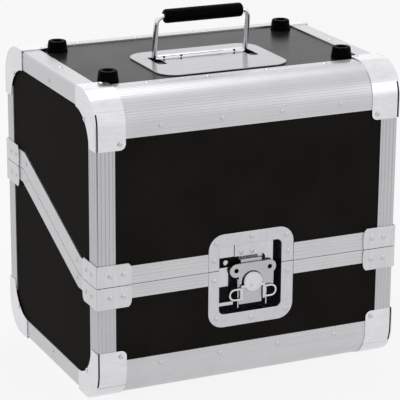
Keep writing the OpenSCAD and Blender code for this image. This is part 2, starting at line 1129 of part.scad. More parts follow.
module side_pad(s) {
  color([0.2, 0.2, 0.22])
    side_x(s)
      along_x(-in_x, -in_x + pad_side_t)
        intersection() {
          pad_profile();
          children();
        }
}

module wall_pad(s, z0, z1) {
  color([0.2, 0.2, 0.22])
    side_y(s)
      box([pad_side_t - in_x + 1, -in_y, z0], [in_x - pad_side_t - 1, -in_y + pad_wall_t, z1]);
}

module base_wall_pads() {
  for (s = [-1, 1])
    side_pad(s)
      below_seam(-rim_inner_h - 1);
  difference() {
    wall_pad(-1, z_low + round_reach + 1, z_front - rim_inner_h - 1);
    recess_hole(fit_gap);
  }
  wall_pad(1, z_low + round_reach + 1, z_back - rim_inner_h - 1);
}

module lid_side_pads() {
  for (s = [-1, 1])
    side_pad(s)
      above_seam(half_gap + rim_inner_h + 1);
}

// Foam slab on the floor, between the rounded trims and the side pads
module floor_pad() {
  y = hd - round_over - 1;
  x = in_x - pad_side_t - 1;
  z = z_low + trim_t + panel_t;
  color([0.2, 0.2, 0.22])
    box([-x, -y, z], [x, y, z + pad_floor_t]);
}

module base_floor_pad() {
  floor_pad();
}

module lid_top_pad() {
  bottom_up()
    floor_pad();
}

// ---- handle ----

// Stamped plate with the rolled barrel that holds the bail's ends
module handle_plate() {
  front = round_over - hd + plate_gap;
  behind = handle_y + barrel_r + 1.5;
  color([0.8, 0.8, 0.82])
    difference() {
      union() {
        translate([0, 0, panel_top])
          linear_extrude(plate_t)
            difference() {
              rounded([handle_x - plate_w / 2, front],
                      [handle_x + plate_w / 2, handle_y + plate_back], plate_r);
              // slots for the bail's legs
              for (s = [-1, 1])
                translate([handle_x + s * bail_half, handle_y])
                  rounded([-slot_w / 2, -slot_front], [slot_w / 2, slot_back], 3);
              // notches behind the barrel
              for (x = notch_xs)
                translate([handle_x + x - notch_w / 2, behind])
                  square([notch_w, notch_d]);
            }
        translate([handle_x - barrel_half, handle_y, bail_z])
          rotate([0, 90, 0])
            cylinder(h = 2 * barrel_half, r = barrel_r);
      }
      // bore for the bail's ends
      translate([handle_x - bail_half, handle_y, bail_z])
        rotate([0, 90, 0])
          cylinder(h = 2 * bail_half, r = wire_r + running);
    }
}

// Quarter bend of the wire in the plane of the bail
module wire_bend() {
  rotate_extrude(angle = 90)
    translate([bail_bend_r, 0])
      circle(wire_r);
}

// Moves the bail from upright at the origin to its tilt at rest
module bail_place() {
  translate([handle_x, handle_y, bail_z])
    rotate([bail_tilt, 0, 0])
      children();
}

module handle_bail() {
  x_arm = bail_half - bail_bend_r;
  leg = bail_rise - bail_bend_r;
  color([0.8, 0.8, 0.82])
    bail_place() {
      for (s = [-1, 1])
        side_x(-s) {
          translate([x_arm, 0, leg])
            rotate([90, 0, 0])
              wire_bend();
          translate([bail_half, 0, 0])
            cylinder(h = leg, r = wire_r);
          // the leg turns into the barrel
          translate([bail_half, 0, 0])
            sphere(wire_r);
          translate([bail_half - bail_stub, 0, 0])
            rotate([0, 90, 0])
              cylinder(h = bail_stub, r = wire_r);
        }
      translate([-x_arm, 0, bail_rise])
        rotate([0, 90, 0])
          cylinder(h = 2 * x_arm, r = wire_r);
    }
}

module handle_grip() {
  color([0.03, 0.03, 0.03])
    bail_place()
      translate([-grip_l / 2, 0, bail_rise])
        rotate([0, 90, 0])
          rotate_extrude()
            difference() {
              union() {
                translate([0, grip_end_r])
                  square([grip_r, grip_l - 2 * grip_end_r]);
                square([grip_r - grip_end_r, grip_l]);
                for (y = [grip_end_r, grip_l - grip_end_r])
                  translate([grip_r - grip_end_r, y])
                    circle(grip_end_r);
              }
              translate([-far, -1])
                square([far + wire_r + running, grip_l + 2]);
            }
}

// ---- latch ----

// Whole dish: flange in the skin's plane and the recess behind it
module latch_dish() {
  color([0.8, 0.8, 0.82])
    difference() {
      union() {
        along_y(-hd, -skin_y)
          flange_outline(0);
        along_y(-hd, -hd + latch_depth)
          recess_outline(recess_t);
      }
      along_y(-hd - 1, -hd + recess_floor)
        recess_outline(0);
      children();
    }
}

module latch_lower_dish() {
  latch_dish()
    box([-far, -far, z_front - half_gap], [far, far, z_front + far]);
}

module latch_upper_dish() {
  latch_dish()
    box([-far, -far, z_front - far], [far, far, z_front + half_gap]);
}

// Keeper in the lid's half: a folded plate with the slot that the tongue reaches into, open to
// the left and below, and the stop plate and knob beside it
module latch_keeper() {
  front = -hd + keeper_level;
  back = -hd + recess_floor;
  low = z_front + half_gap + keeper_rise;
  high = z_front + recess_up - keeper_head;
  slot_top = z_front + keeper_slot;
  x0 = turn_x - keeper_left;
  x1 = turn_x + keeper_right;
  color([0.8, 0.8, 0.82]) {
    difference() {
      box([x0, front, low], [x1, back, high]);
      box([x0 + keeper_t, front + keeper_t, low - 1],
          [x1 - keeper_t, back - keeper_back_t, high - keeper_t]);
      along_y(front - 1, front + keeper_t + 1)
        rounded([x0 - 20, low - 20], [turn_x + keeper_slot_right, slot_top], keeper_slot_r);
      box([x0 - 1, front - 1, low - 1], [x0 + keeper_t + 1, back + 1, slot_top]);
    }
    // stop plate from the recess's left wall, following its rounded corner
    intersection() {
      box([wall_x, front, slot_top + stop_rise], [x0 - stop_gap, back, high]);
      along_y(front, back)
        recess_outline(-stop_play);
    }
    translate([wall_x + knob_in, back, z_front + knob_up])
      rotate([90, 0, 0])
        cylinder(h = recess_floor - keeper_level, r = knob_r);
  }
}

// Housing on the recess floor: back plate, cheeks that guide the hook plate, the bush that the
// turn shaft runs in, and the stop block and foot at the left
module latch_housing() {
  back = recess_floor;
  cheek = hook_left + guide_gap;
  color([0.7, 0.7, 0.72])
    translate([turn_x, -hd, turn_z])
      difference() {
        union() {
          box([-housing_half, back - housing_t, -housing_low],
              [housing_half, back, turn_drop - housing_drop]);
          box([-cheek - cheek_t, cheek_level, -housing_low], [-cheek, back, cheek_up]);
          box([cheek, cheek_level, -housing_low], [cheek + cheek_t, back, -cheek_down]);
          translate([0, back, 0])
            rotate([90, 0, 0])
              cylinder(h = bush_l, r = shaft_r + bush_wall);
          // stop block with a slanted flank
          translate([0, 0, -block_low])
            linear_extrude(block_low + turn_drop - block_drop)
              polygon([
                [block_x, keeper_level], [-block_right, keeper_level],
                [-flank_right, back], [block_x, back]
              ]);
          box([block_x, keeper_level, -foot_low], [-foot_right, back, -foot_high]);
        }
        translate([0, back + 1, 0])
          rotate([90, 0, 0])
            cylinder(h = far, r = shaft_r + running);
      }
}

// Turn disc with its shaft and eccentric cam, and the lugs whose pins carry the wings
module latch_turn_disc() {
  wing_top = ring_r - wing_drop + fit_gap;
  wing_low = -ring_r - wing_drop - fit_gap;
  color([0.85, 0.85, 0.87])
    translate([turn_x, -hd, turn_z]) {
      rotate([-90, 0, 0]) {
        translate([0, 0, head_front])
          cylinder(h = head_t, r = disc_r);
        translate([0, 0, head_front])
          cylinder(h = recess_floor - head_front - fit_gap, r = shaft_r);
        translate([0, cam_throw, plate_level + 0.1])
          cylinder(h = hook_t - 0.2, r = cam_r);
      }
      // raised pip on the disc
      translate([-pip_x, head_front, -pip_low])
        sphere(pip_r);
      for (s = [-1, 1])
        side_x(s) {
          box([-wing_hinge - lug_t / 2, wing_axis - lug_t / 2, wing_top],
              [lug_in - disc_r, wing_axis + lug_t / 2 - lug_thin, wing_top + lug_h]);
          translate([-wing_hinge, wing_axis, wing_low])
            cylinder(h = wing_top - wing_low + 1, r = wing_pin_r);
          translate([-wing_hinge, wing_axis, wing_low - pin_head_h])
            cylinder(h = pin_head_h, r = wing_pin_head);
        }
    }
}

// Outline of the left wing: a ring with its straight side on the hinge line, drawn in by t
module wing_outline(t) {
  translate([-wing_hinge - ring_out, -wing_drop]) {
    circle(ring_r - t);
    translate([0, t - ring_r])
      square([ring_out - t, 2 * (ring_r - t)]);
  }
}

// Folding wing of the left side, lying flat in the recess
module wing() {
  translate([turn_x, -hd, turn_z])
    difference() {
      union() {
        translate([-wing_hinge, wing_axis, -wing_drop - ring_r])
          cylinder(h = 2 * ring_r, r = knuckle_w);
        along_y(wing_axis - wing_t / 2, wing_axis + wing_t / 2)
          wing_outline(0);
      }
      along_y(-1, wing_axis + wing_t)
        wing_outline(ring_band);
      translate([-wing_hinge, wing_axis, -2 * wing_drop])
        cylinder(h = 2 * wing_drop, r = wing_pin_r + running);
    }
}

module latch_left_wing() {
  color([0.85, 0.85, 0.87])
    wing();
}

module latch_right_wing() {
  color([0.85, 0.85, 0.87])
    translate([2 * turn_x, 0, 0])
      mirror([1, 0, 0])
        wing();
}

// Hook plate: body, two ears, the apron under the right one and the tongue behind its top edge
module latch_hook_plate() {
  top = ear_rise + ear_r;
  bar_back = keeper_level - plate_level - fit_gap;
  color([0.82, 0.82, 0.84])
    translate([turn_x, -hd + plate_level, turn_z]) {
      along_y(0, hook_t)
        difference() {
          union() {
            translate([-hook_left, -hook_low])
              square([hook_left + hook_right, hook_low + ear_rise]);
            translate([0, -apron_low])
              square([apron_right, apron_low + ear_rise]);
            translate([-ear_left, ear_rise - bridge_low])
              square([ear_left + ear_right, bridge_low + ear_r]);
            for (x = [-ear_left, ear_right])
              translate([x, ear_rise])
                circle(ear_r);
          }
          for (x = [-ear_left, ear_right])
            translate([x, ear_rise])
              circle(ear_hole_r);
          // window for the cam, hidden by the disc
          translate([0, -cam_throw])
            circle(cam_r + cam_throw + cam_play);
          // arch over the disc
          intersection() {
            translate([0, -arch_low])
              circle(arch_r);
            translate([-arch_r, -arch_side])
              square(2 * arch_r);
          }
        }
      // riser behind the top edge, the bar in front of the keeper and its lip in the slot
      box([-tongue_half, riser_level, top - riser_h],
          [tongue_half, bar_back, top - riser_level]);
      box([-tongue_half, bar_back - bar_t, top - riser_h], [tongue_half, bar_back, top + bar_up]);
      box([lip_in - tongue_half, bar_back - riser_level, top + lip_low],
          [tongue_half - lip_in, bar_back + lip_back, top + lip_high]);
    }
}

// ---- hinges ----

// One leaf with its knuckle on the back face; the knuckle's outline is cut for the other's
module hinge_leaf(dir) {
  color([0.75, 0.75, 0.77])
    for (s = [-1, 1])
      translate([s * hinge_x, 0, z_back]) {
        // leaf below or above the parting line, notched for the other knuckle
        difference() {
          along_y(hd, hd + leaf_t)
            mirror([0, dir > 0 ? 0 : 1, 0])
              translate([-hinge_half, half_gap])
                square([2 * hinge_half, leaf_h - half_gap]);
          box([dir > 0 ? -hinge_half - 1 : -0.3, hd - 1, -knuckle_r - 1],
              [dir > 0 ? 0.3 : hinge_half + 1, hd + leaf_t + 1, knuckle_r + 1]);
        }
        difference() {
          translate([dir > 0 ? 0.3 : -hinge_half, hinge_y, 0])
            rotate([0, 90, 0])
              cylinder(h = hinge_half - 0.3, r = knuckle_r);
          translate([-far / 2, hinge_y, 0])
            rotate([0, 90, 0])
              cylinder(h = far, r = pin_r + running);
        }
      }
}

module hinge_lower_leaves() {
  hinge_leaf(-1);
}

module hinge_upper_leaves() {
  hinge_leaf(1);
}

module hinge_pins() {
  color([0.6, 0.6, 0.62])
    for (s = [-1, 1])
      translate([s * hinge_x - hinge_half, hinge_y, z_back])
        rotate([0, 90, 0])
          cylinder(h = 2 * hinge_half - 2, r = pin_r);
}

base_floor_panel();
base_front_panel();
base_back_panel();
base_left_panel();
base_right_panel();
base_bottom_front_trim();
base_bottom_back_trim();
base_bottom_left_trim();
base_bottom_right_trim();
base_front_left_post();
base_front_right_post();
base_back_left_post();
base_back_right_post();
base_front_rim();
base_back_rim();
base_left_rim();
base_right_rim();
base_corner_caps();
base_corner_brackets();
base_rivets();
base_floor_pad();
base_wall_pads();
lid_top_panel();
lid_front_panel();
lid_back_panel();
lid_left_panel();
lid_right_panel();
lid_top_front_trim();
lid_top_back_trim();
lid_top_left_trim();
lid_top_right_trim();
lid_front_left_post();
lid_front_right_post();
lid_back_left_post();
lid_back_right_post();
lid_front_rim();
lid_back_rim();
lid_left_rim();
lid_right_rim();
lid_corner_caps();
lid_corner_brackets();
lid_rivets();
lid_feet();
lid_top_pad();
lid_side_pads();
handle_plate();
handle_bail();
handle_grip();
latch_lower_dish();
latch_upper_dish();
latch_keeper();
latch_housing();
latch_turn_disc();
latch_left_wing();
latch_right_wing();
latch_hook_plate();
hinge_lower_leaves();
hinge_upper_leaves();
hinge_pins();
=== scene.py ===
"""The look of the record carrying case: grooved aluminium trims, folded corner caps, black
laminate panels, a chromed bail handle and a recessed turn latch, built in millimetres around
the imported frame."""
import math

import bmesh
import bpy
from mathutils import Matrix, Vector


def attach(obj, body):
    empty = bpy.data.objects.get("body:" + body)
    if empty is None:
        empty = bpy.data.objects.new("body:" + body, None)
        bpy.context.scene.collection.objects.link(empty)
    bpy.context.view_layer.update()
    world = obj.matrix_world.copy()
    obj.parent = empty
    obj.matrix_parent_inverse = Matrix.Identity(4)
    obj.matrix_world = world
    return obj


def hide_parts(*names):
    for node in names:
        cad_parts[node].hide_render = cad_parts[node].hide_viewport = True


MM = 0.001
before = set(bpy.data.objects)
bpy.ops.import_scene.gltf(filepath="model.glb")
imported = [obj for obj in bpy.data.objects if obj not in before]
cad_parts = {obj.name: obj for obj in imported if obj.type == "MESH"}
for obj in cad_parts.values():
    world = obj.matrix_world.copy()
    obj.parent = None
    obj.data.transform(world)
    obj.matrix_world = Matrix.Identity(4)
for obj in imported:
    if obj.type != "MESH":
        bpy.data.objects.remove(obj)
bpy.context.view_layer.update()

# ---- sizes of the case, in millimetres ----
HW = 190.0          # half width over the trims
HD = 145.5          # half depth over the trims
ZL = 1.2            # underside of the bottom trims
ZT = 364.2          # top of the top trims
TRIM = 1.5          # trim sheet
PANEL = 9.0
RD = 2 * TRIM + PANEL    # depth of the trims and the closing profiles round a panel
SX = HW - TRIM      # outer faces of the side and front panels
SY = HD - TRIM
IX = SX - PANEL     # inner faces of the same
IY = SY - PANEL
ROUND = 38.0        # radius of the big rounded edges
ARC_L = ROUND * math.pi / 2
REACH = 50.5        # reach of the rounded trims down the front and back
OVER = 47.0         # reach of the rounded trims over the top and bottom
LEG = 22.4          # leg of the flat trims
ZF = 142.8          # parting line at the front
ZB = 217.7          # parting line at the back
BEND = HD - 55.0    # where the parting line bends on the sides
SLOPE = math.atan((ZB - ZF) / (2 * BEND))
MITRE = math.tan(SLOPE / 2)
UP = 21.8           # height of the lid's band
DOWN = 16.6         # height of the base's band
UP_MARKS = (4.8, 9.1, 13.4, 17.7)     # heights of the grooves in each band
DOWN_MARKS = (-12.8, -8.8, -4.8)
GAP = 0.3           # half of the parting gap
CAP = 1.2           # cap sheet
CAP_W = 35.0        # reach of a cap from the side
CAP_DOWN = 63.0     # reach of a cap down the front
CAP_OVER = 58.0     # reach of a cap over the top
PT = ZT - TRIM      # outer face of the top panel
TAB_R = 7.0         # corner radius of a cap's tabs
HOLLOW_R = 41.5     # radius of the hollow edge of a cap's side
BRACKET = 1.6       # bracket sheet
ROW = 40.0          # rivet rows on the rounded trims, from the edge
ROW_X = (-112.5, -37.5, 37.5, 112.5)  # rivets of a row

# closing profiles: tongue on the base, groove in the lid, inner step and leg
TONGUE_OUT, TONGUE_IN, TONGUE_H = 4.8, 7.2, 2.7
GROOVE_OUT, GROOVE_IN, GROOVE_H = 3.5, 8.5, 4.6
BASE_STEP, BASE_LEG = 2.3, 12.0
LID_STEP, LID_LEG = 6.6, 12.3

# feet and handle
FOOT_X, FOOT_Y = 148.5, 79.5
HX, HY = -2.4, -8.0       # middle of the bail's axis
PLATE_HALF = 82.5   # half width of the handle plate
PLATE_GAP = 9.0     # from the front trim to the plate
PLATE_BACK = 35.5   # from the bail's axis to the plate's back
PLATE_R = 24.0
PLATE_T = 1.8
BZ = PT + 1.0       # height of the bail's axis
BHALF = 59.0        # half distance of the bail's legs
WIRE = 3.0          # radius of the bail's wire
RISE = 53.0         # from the bail's axis to the grip's
TILT = math.radians(9)   # the bail leans forward at rest
BARREL = 4.6        # radius of the rolled barrel
GRIP_L = 99.5

# latch
TX, TZ = 5.2, ZF - 19.2   # latch turn axis
FLOOR = 14.3        # depth of the latch recess
FLOOR_T = 1.2       # sheet of the recess
LX, LW, LU, LD, LR = 1.8, 54.4, 43.6, 70.0, 19.0   # latch flange: middle, half width, up, down, corner
OX, OW, OU, OD, OR = 0.9, 39.9, 28.6, 54.2, 6.6    # recess, in the same order

# back hinges
HINGE_X = (-110, 110)
HINGE_Y = HD + 4.7
LEAF_HALF = 19.0
LEAF_T = 1.6        # leaf sheet

# lining
SIDE_PAD = 10       # also under the top and on the floor
WALL_PAD = 5
PAD_UP = 13.3       # lid pads start this far above the parting line
PAD_DOWN = 13.0     # base pads end this far below it


# ---- geometry lists: (vertices in mm, faces) ----

def merge(*parts):
    """One geometry list from several."""
    verts, faces = [], []
    for v, f in parts:
        n = len(verts)
        verts += v
        faces += [[i + n for i in face] for face in f]
    return verts, faces


def moved(geo, matrix):
    return [matrix @ Vector(p) for p in geo[0]], geo[1]


def shift(geo, x, y, z):
    return moved(geo, Matrix.Translation((x, y, z)))


def mirrored(geo, sx=1, sy=1, flip_z=False):
    """Mirrored about the case's middle planes."""
    m = Matrix.Diagonal((sx, sy, 1, 1))
    if flip_z:
        m = Matrix.Translation((0, 0, ZL + ZT)) @ Matrix.Diagonal((1, 1, -1, 1)) @ m
    return moved(geo, m)


def to_axis(p, w, axis):
    """A point of an outline at the depth w along the axis it is extruded on."""
    if axis == "x":
        return Vector((w, p[0], p[1]))
    if axis == "y":
        return Vector((p[0], w, p[1]))
    return Vector((p[0], p[1], w))


def prism(outline, a, b, axis):
    """An outline extruded along an axis from a to b."""
    n = len(outline)
    verts = [to_axis(p, w, axis) for w in (a, b) for p in outline]
    faces = [[i, (i + 1) % n, n + (i + 1) % n, n + i] for i in range(n)]
    faces += [list(range(n)), list(range(2 * n - 1, n - 1, -1))]
    return verts, faces


def block(lo, hi):
    return prism([(lo[0], lo[1]), (hi[0], lo[1]), (hi[0], hi[1]), (lo[0], hi[1])], lo[2], hi[2], "z")


def arc(cx, cy, r, a0, a1, n=10):
    """Points of an arc, angles in degrees."""
    return [(cx + r * math.cos(math.radians(a0 + (a1 - a0) * i / n)),
             cy + r * math.sin(math.radians(a0 + (a1 - a0) * i / n))) for i in range(n + 1)]


def round_rect(x0, y0, x1, y1, r, n=8):
    return (arc(x1 - r, y0 + r, r, -90, 0, n) + arc(x1 - r, y1 - r, r, 0, 90, n)
            + arc(x0 + r, y1 - r, r, 90, 180, n) + arc(x0 + r, y0 + r, r, 180, 270, n))


def lathe(profile, n=40):
    """A profile of (radius, height) turned about Z."""
    verts, faces, rings = [], [], []
    for r, h in profile:
        if r < 1e-6:
            rings.append([len(verts)])
            verts.append(Vector((0, 0, h)))
        else:
            rings.append(list(range(len(verts), len(verts) + n)))
            verts += [Vector((r * math.cos(2 * math.pi * i / n), r * math.sin(2 * math.pi * i / n), h))
                      for i in range(n)]
    for a, b in zip(rings, rings[1:]):
        for i in range(n):
            j = (i + 1) % n
            face = [a[i % len(a)], a[j % len(a)], b[j % len(b)], b[i % len(b)]]
            face = [k for m, k in enumerate(face) if k not in face[:m]]
            if len(face) > 2:
                faces.append(face)
    if len(rings[0]) > 1 and len(rings[-1]) > 1 and profile[0] != profile[-1]:
        faces += [rings[0][::-1], rings[-1]]
    return verts, faces


TO_FRONT = Matrix.Rotation(math.radians(90), 4, "X")     # +Z becomes -Y
TO_LEFT = Matrix.Rotation(math.radians(-90), 4, "Y")     # +Z becomes -X
ALONG_X = Matrix.Rotation(math.radians(90), 4, "Y")      # +Z becomes +X


def plate(outlines, thick, edge, n_bevel=2):
    """A flat plate in XY with its middle at 0: the first outline less the holes, edges rounded."""
    curve = bpy.data.curves.new("plate", "CURVE")
    curve.dimensions = "2D"
    curve.fill_mode = "BOTH"
    curve.extrude = thick / 2 - edge
    curve.bevel_depth = edge
    curve.bevel_resolution = n_bevel
    curve.offset = -edge
    for pts in outlines:
        s = curve.splines.new("POLY")
        s.points.add(len(pts) - 1)
        for q, p in zip(s.points, pts):
            q.co = (p[0], p[1], 0, 1)
        s.use_cyclic_u = True
    ob = bpy.data.objects.new("plate", curve)
    bpy.context.scene.collection.objects.link(ob)
    dg = bpy.context.evaluated_depsgraph_get()
    me = bpy.data.meshes.new_from_object(ob.evaluated_get(dg))
    geo = ([v.co.copy() for v in me.vertices], [list(p.vertices) for p in me.polygons])
    bpy.data.objects.remove(ob)
    bpy.data.curves.remove(curve)
    bpy.data.meshes.remove(me)
    return geo


def front_plate(outlines, y, thick, edge=0.35):
    """A plate drawn in X and Z with its front face at y."""
    g = moved(plate(outlines, thick, edge), TO_FRONT)
    return shift(g, 0, y + thick / 2, 0)


def side_plate(outlines, x, thick, edge=0.35):
    """A plate drawn in Y and Z with its outer, left face at x."""
    turn = Matrix(((0, 0, 1, 0), (1, 0, 0, 0), (0, 1, 0, 0), (0, 0, 0, 1)))
    return shift(moved(plate(outlines, thick, edge), turn), x + thick / 2, 0, 0)


def tube(path, r, n=20):
    """A round wire along a path of points."""
    verts, faces = [], []
    pts = [Vector(p) for p in path]
    up = Vector((0, 1, 0))
    for i, p in enumerate(pts):
        t = (pts[min(i + 1, len(pts) - 1)] - pts[max(i - 1, 0)]).normalized()
        a = up.cross(t).normalized()
        b = t.cross(a)
        verts += [p + r * (math.cos(2 * math.pi * k / n) * a + math.sin(2 * math.pi * k / n) * b)
                  for k in range(n)]
    for i in range(len(pts) - 1):
        for k in range(n):
            j = (k + 1) % n
            faces.append([i * n + k, i * n + j, (i + 1) * n + j, (i + 1) * n + k])
    faces += [list(range(n))[::-1], list(range(len(verts) - n, len(verts)))]
    return verts, faces


def grooved(point, length, centres, width, depth, curve_from=None, curve_to=None, steps=1):
    """Points of a section line with V grooves; point(s) gives a place and its outward normal."""
    marks = [(0.0, 0.0), (length, 0.0)]
    for c in centres:
        marks += [(c - width / 2, 0.0), (c - width / 5, depth), (c + width / 5, depth), (c + width / 2, 0.0)]
    if curve_from is not None:
        for i in range(steps + 1):
            s = curve_from + (curve_to - curve_from) * i / steps
            if all(abs(s - c) > width * 0.7 for c in centres):
                marks.append((s, 0.0))
    out = []
    for s, d in sorted(marks):
        p, n = point(s)
        out.append((p[0] - n[0] * d, p[1] - n[1] * d))
    return out


# ---- pieces ----

def piece(name, geo, mat, body, nodes=(), bevel=0.0, segments=2, angle=34, weighted=True):
    """A named mesh piece that rides on a body and stands for the CAD nodes given."""
    me = bpy.data.meshes.new(name)
    me.from_pydata([Vector(v) * MM for v in geo[0]], [], geo[1])
    bm = bmesh.new()
    bm.from_mesh(me)
    bmesh.ops.remove_doubles(bm, verts=bm.verts, dist=1e-7)
    bmesh.ops.recalc_face_normals(bm, faces=bm.faces)
    if bevel:
        edges = [e for e in bm.edges if e.is_manifold and e.calc_face_angle(0) > math.radians(50)]
        bmesh.ops.bevel(bm, geom=edges, offset=bevel * MM, segments=segments, profile=0.5,
                        affect="EDGES", clamp_overlap=True)
    for f in bm.faces:
        f.smooth = True
    for e in bm.edges:
        e.smooth = e.is_manifold and e.calc_face_angle(0) < math.radians(angle)
    bm.to_mesh(me)
    bm.free()
    ob = bpy.data.objects.new(name, me)
    bpy.context.scene.collection.objects.link(ob)
    me.materials.append(mat)
    if weighted:
        w = ob.modifiers.new("weighted", "WEIGHTED_NORMAL")
        w.keep_sharp = True
        w.weight = 80
    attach(ob, body)
    if nodes:
        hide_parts(*nodes)
    return ob


# ---- materials ----

def new_material(name):
    mat = bpy.data.materials.new(name)
    mat.use_nodes = True
    nt = mat.node_tree
    return mat, nt, nt.nodes["Principled BSDF"]


def coords(nt, scale):
    tc = nt.nodes.new("ShaderNodeTexCoord")
    mp = nt.nodes.new("ShaderNodeMapping")
    mp.inputs["Scale"].default_value = scale
    nt.links.new(tc.outputs["Object"], mp.inputs["Vector"])
    return mp.outputs["Vector"]


def noise(nt, vec, scale, detail=3.0, rough=0.55):
    n = nt.nodes.new("ShaderNodeTexNoise")
    n.inputs["Scale"].default_value = scale
    n.inputs["Detail"].default_value = detail
    n.inputs["Roughness"].default_value = rough
    nt.links.new(vec, n.inputs["Vector"])
    return n.outputs["Fac"]


def ramp(nt, fac, stops):
    r = nt.nodes.new("ShaderNodeValToRGB")
    els = r.color_ramp.elements
    els[0].position, els[0].color = stops[0][0], (*stops[0][1], 1)
    els[1].position, els[1].color = stops[-1][0], (*stops[-1][1], 1)
    for pos, col in stops[1:-1]:
        els.new(pos).color = (*col, 1)
    nt.links.new(fac, r.inputs["Fac"])
    return r.outputs["Color"]


def span(nt, fac, lo, hi):
    m = nt.nodes.new("ShaderNodeMapRange")
    m.inputs["From Min"].default_value = 0.3
    m.inputs["From Max"].default_value = 0.7
    m.inputs["To Min"].default_value = lo
    m.inputs["To Max"].default_value = hi
    nt.links.new(fac, m.inputs["Value"])
    return m.outputs["Result"]


def bump(nt, fac, strength, distance):
    b = nt.nodes.new("ShaderNodeBump")
    b.inputs["Strength"].default_value = strength
    b.inputs["Distance"].default_value = distance
    nt.links.new(fac, b.inputs["Height"])
    return b.outputs["Normal"]


def metal(name, colour, rough, grain, grain_bump=0.05, vary=0.05, blotch=0.03):
    """Metal with a drawn or brushed grain; grain is the stretch of the streaks per axis."""
    mat, nt, bsdf = new_material(name)
    bsdf.inputs["Metallic"].default_value = 1.0
    streaks = noise(nt, coords(nt, grain), 1.0, 4.0, 0.6)
    clouds = noise(nt, coords(nt, (1, 1, 1)), 28.0, 3.0)
    lo = tuple(c * (1 - blotch - 0.03) for c in colour)
    hi = tuple(min(1.0, c * (1 + blotch)) for c in colour)
    tint = ramp(nt, streaks, [(0.3, lo), (0.7, hi)])
    mix = nt.nodes.new("ShaderNodeMix")
    mix.data_type = "RGBA"
    mix.blend_type = "MULTIPLY"
    mix.inputs["Factor"].default_value = 0.5
    nt.links.new(tint, mix.inputs["A"])
    nt.links.new(ramp(nt, clouds, [(0.35, (0.93, 0.93, 0.94)), (0.65, (1, 1, 1))]), mix.inputs["B"])
    nt.links.new(mix.outputs["Result"], bsdf.inputs["Base Color"])
    nt.links.new(span(nt, streaks, rough - vary, rough + vary), bsdf.inputs["Roughness"])
    nt.links.new(bump(nt, streaks, grain_bump, 0.0004), bsdf.inputs["Normal"])
    return mat


def laminate(name, colour, rough, level, pebble):
    """Black phenolic laminate with a fine pebble and faint clouds."""
    mat, nt, bsdf = new_material(name)
    fine = noise(nt, coords(nt, (1, 1, 1)), 900.0, 2.0)
    clouds = noise(nt, coords(nt, (1, 1, 1)), 14.0, 4.0)
    lo = tuple(c * 0.85 for c in colour)
    hi = tuple(c * 1.2 for c in colour)
    nt.links.new(ramp(nt, clouds, [(0.3, lo), (0.7, hi)]), bsdf.inputs["Base Color"])
    nt.links.new(span(nt, clouds, rough - 0.03, rough + 0.04), bsdf.inputs["Roughness"])
    bsdf.inputs["Specular IOR Level"].default_value = level
    nt.links.new(bump(nt, fine, pebble, 0.0002), bsdf.inputs["Normal"])
    return mat


def rubber(name, colour, rough, scale, strength):
    mat, nt, bsdf = new_material(name)
    fine = noise(nt, coords(nt, (1, 1, 1)), scale, 4.0, 0.7)
    lo = tuple(c * 0.7 for c in colour)
    hi = tuple(c * 1.5 for c in colour)
    nt.links.new(ramp(nt, fine, [(0.35, lo), (0.65, hi)]), bsdf.inputs["Base Color"])
    nt.links.new(span(nt, fine, rough - 0.06, rough + 0.06), bsdf.inputs["Roughness"])
    bsdf.inputs["Specular IOR Level"].default_value = 0.02
    nt.links.new(bump(nt, fine, strength, 0.0003), bsdf.inputs["Normal"])
    return mat


# colour, roughness, stretch of the grain; then its bump, the roughness's spread and the blotches
ALU = (0.60, 0.60, 0.615)
alu_x = metal("trim_along_x", ALU, 0.36, (3, 900, 900))
alu_y = metal("trim_along_y", ALU, 0.36, (900, 3, 900))
# the posts' aluminium is a darker copy of the trims' aluminium: painted shade on the vertical posts
alu_posts_painted_shade = metal("trim_along_z_painted_shade", (0.53, 0.53, 0.55), 0.36, (900, 900, 3))
cap_steel = metal("corner_steel", (0.76, 0.76, 0.785), 0.26, (60, 60, 260), 0.03)
plate_steel = metal("bracket_steel", (0.66, 0.66, 0.675), 0.36, (260, 260, 60), 0.03)
flange_steel = metal("flange_steel", (0.61, 0.61, 0.635), 0.34, (260, 260, 60), 0.03)
# the rivets' steel is darker than the caps' so that it paints in the dark reflections of their polished
# domes
rivet_steel = metal("rivet_steel", (0.55, 0.55, 0.57), 0.12, (200, 200, 200), 0.02)
chrome = metal("handle_chrome", (0.80, 0.80, 0.82), 0.09, (40, 40, 40), 0.01, 0.03, 0.01)
# the handle plate's chrome is a much darker copy of the handle's chrome, and its stronger blotches are
# painted reflections
plate_chrome_painted_reflection = metal("handle_plate_chrome", (0.36, 0.36, 0.375), 0.13, (30, 60, 60), 0.04, 0.04, 0.06)
latch_steel = metal("latch_steel", (0.62, 0.62, 0.64), 0.22, (260, 260, 90), 0.03)
turn_steel = metal("turn_steel", (0.68, 0.68, 0.7), 0.2, (200, 200, 200), 0.03)
hook_steel = metal("hook_steel", (0.5, 0.5, 0.515), 0.24, (90, 260, 260), 0.03)
# the recess wall is a darker copy of the dish's steel: painted shade in the recess
wall_steel_painted_shade = metal("recess_wall_painted_shade", (0.42, 0.42, 0.43), 0.28, (120, 120, 120), 0.03)
hinge_steel = metal("hinge_steel", (0.62, 0.62, 0.64), 0.34, (60, 260, 260), 0.04)
# near-black steel painted where there is only shade: the slits' bottoms, the barrel's holes, the recess
# floor and the housing in it
painted_shade_steel = metal("recess_painted_shade", (0.012, 0.012, 0.013), 0.5, (120, 120, 120), 0.1)
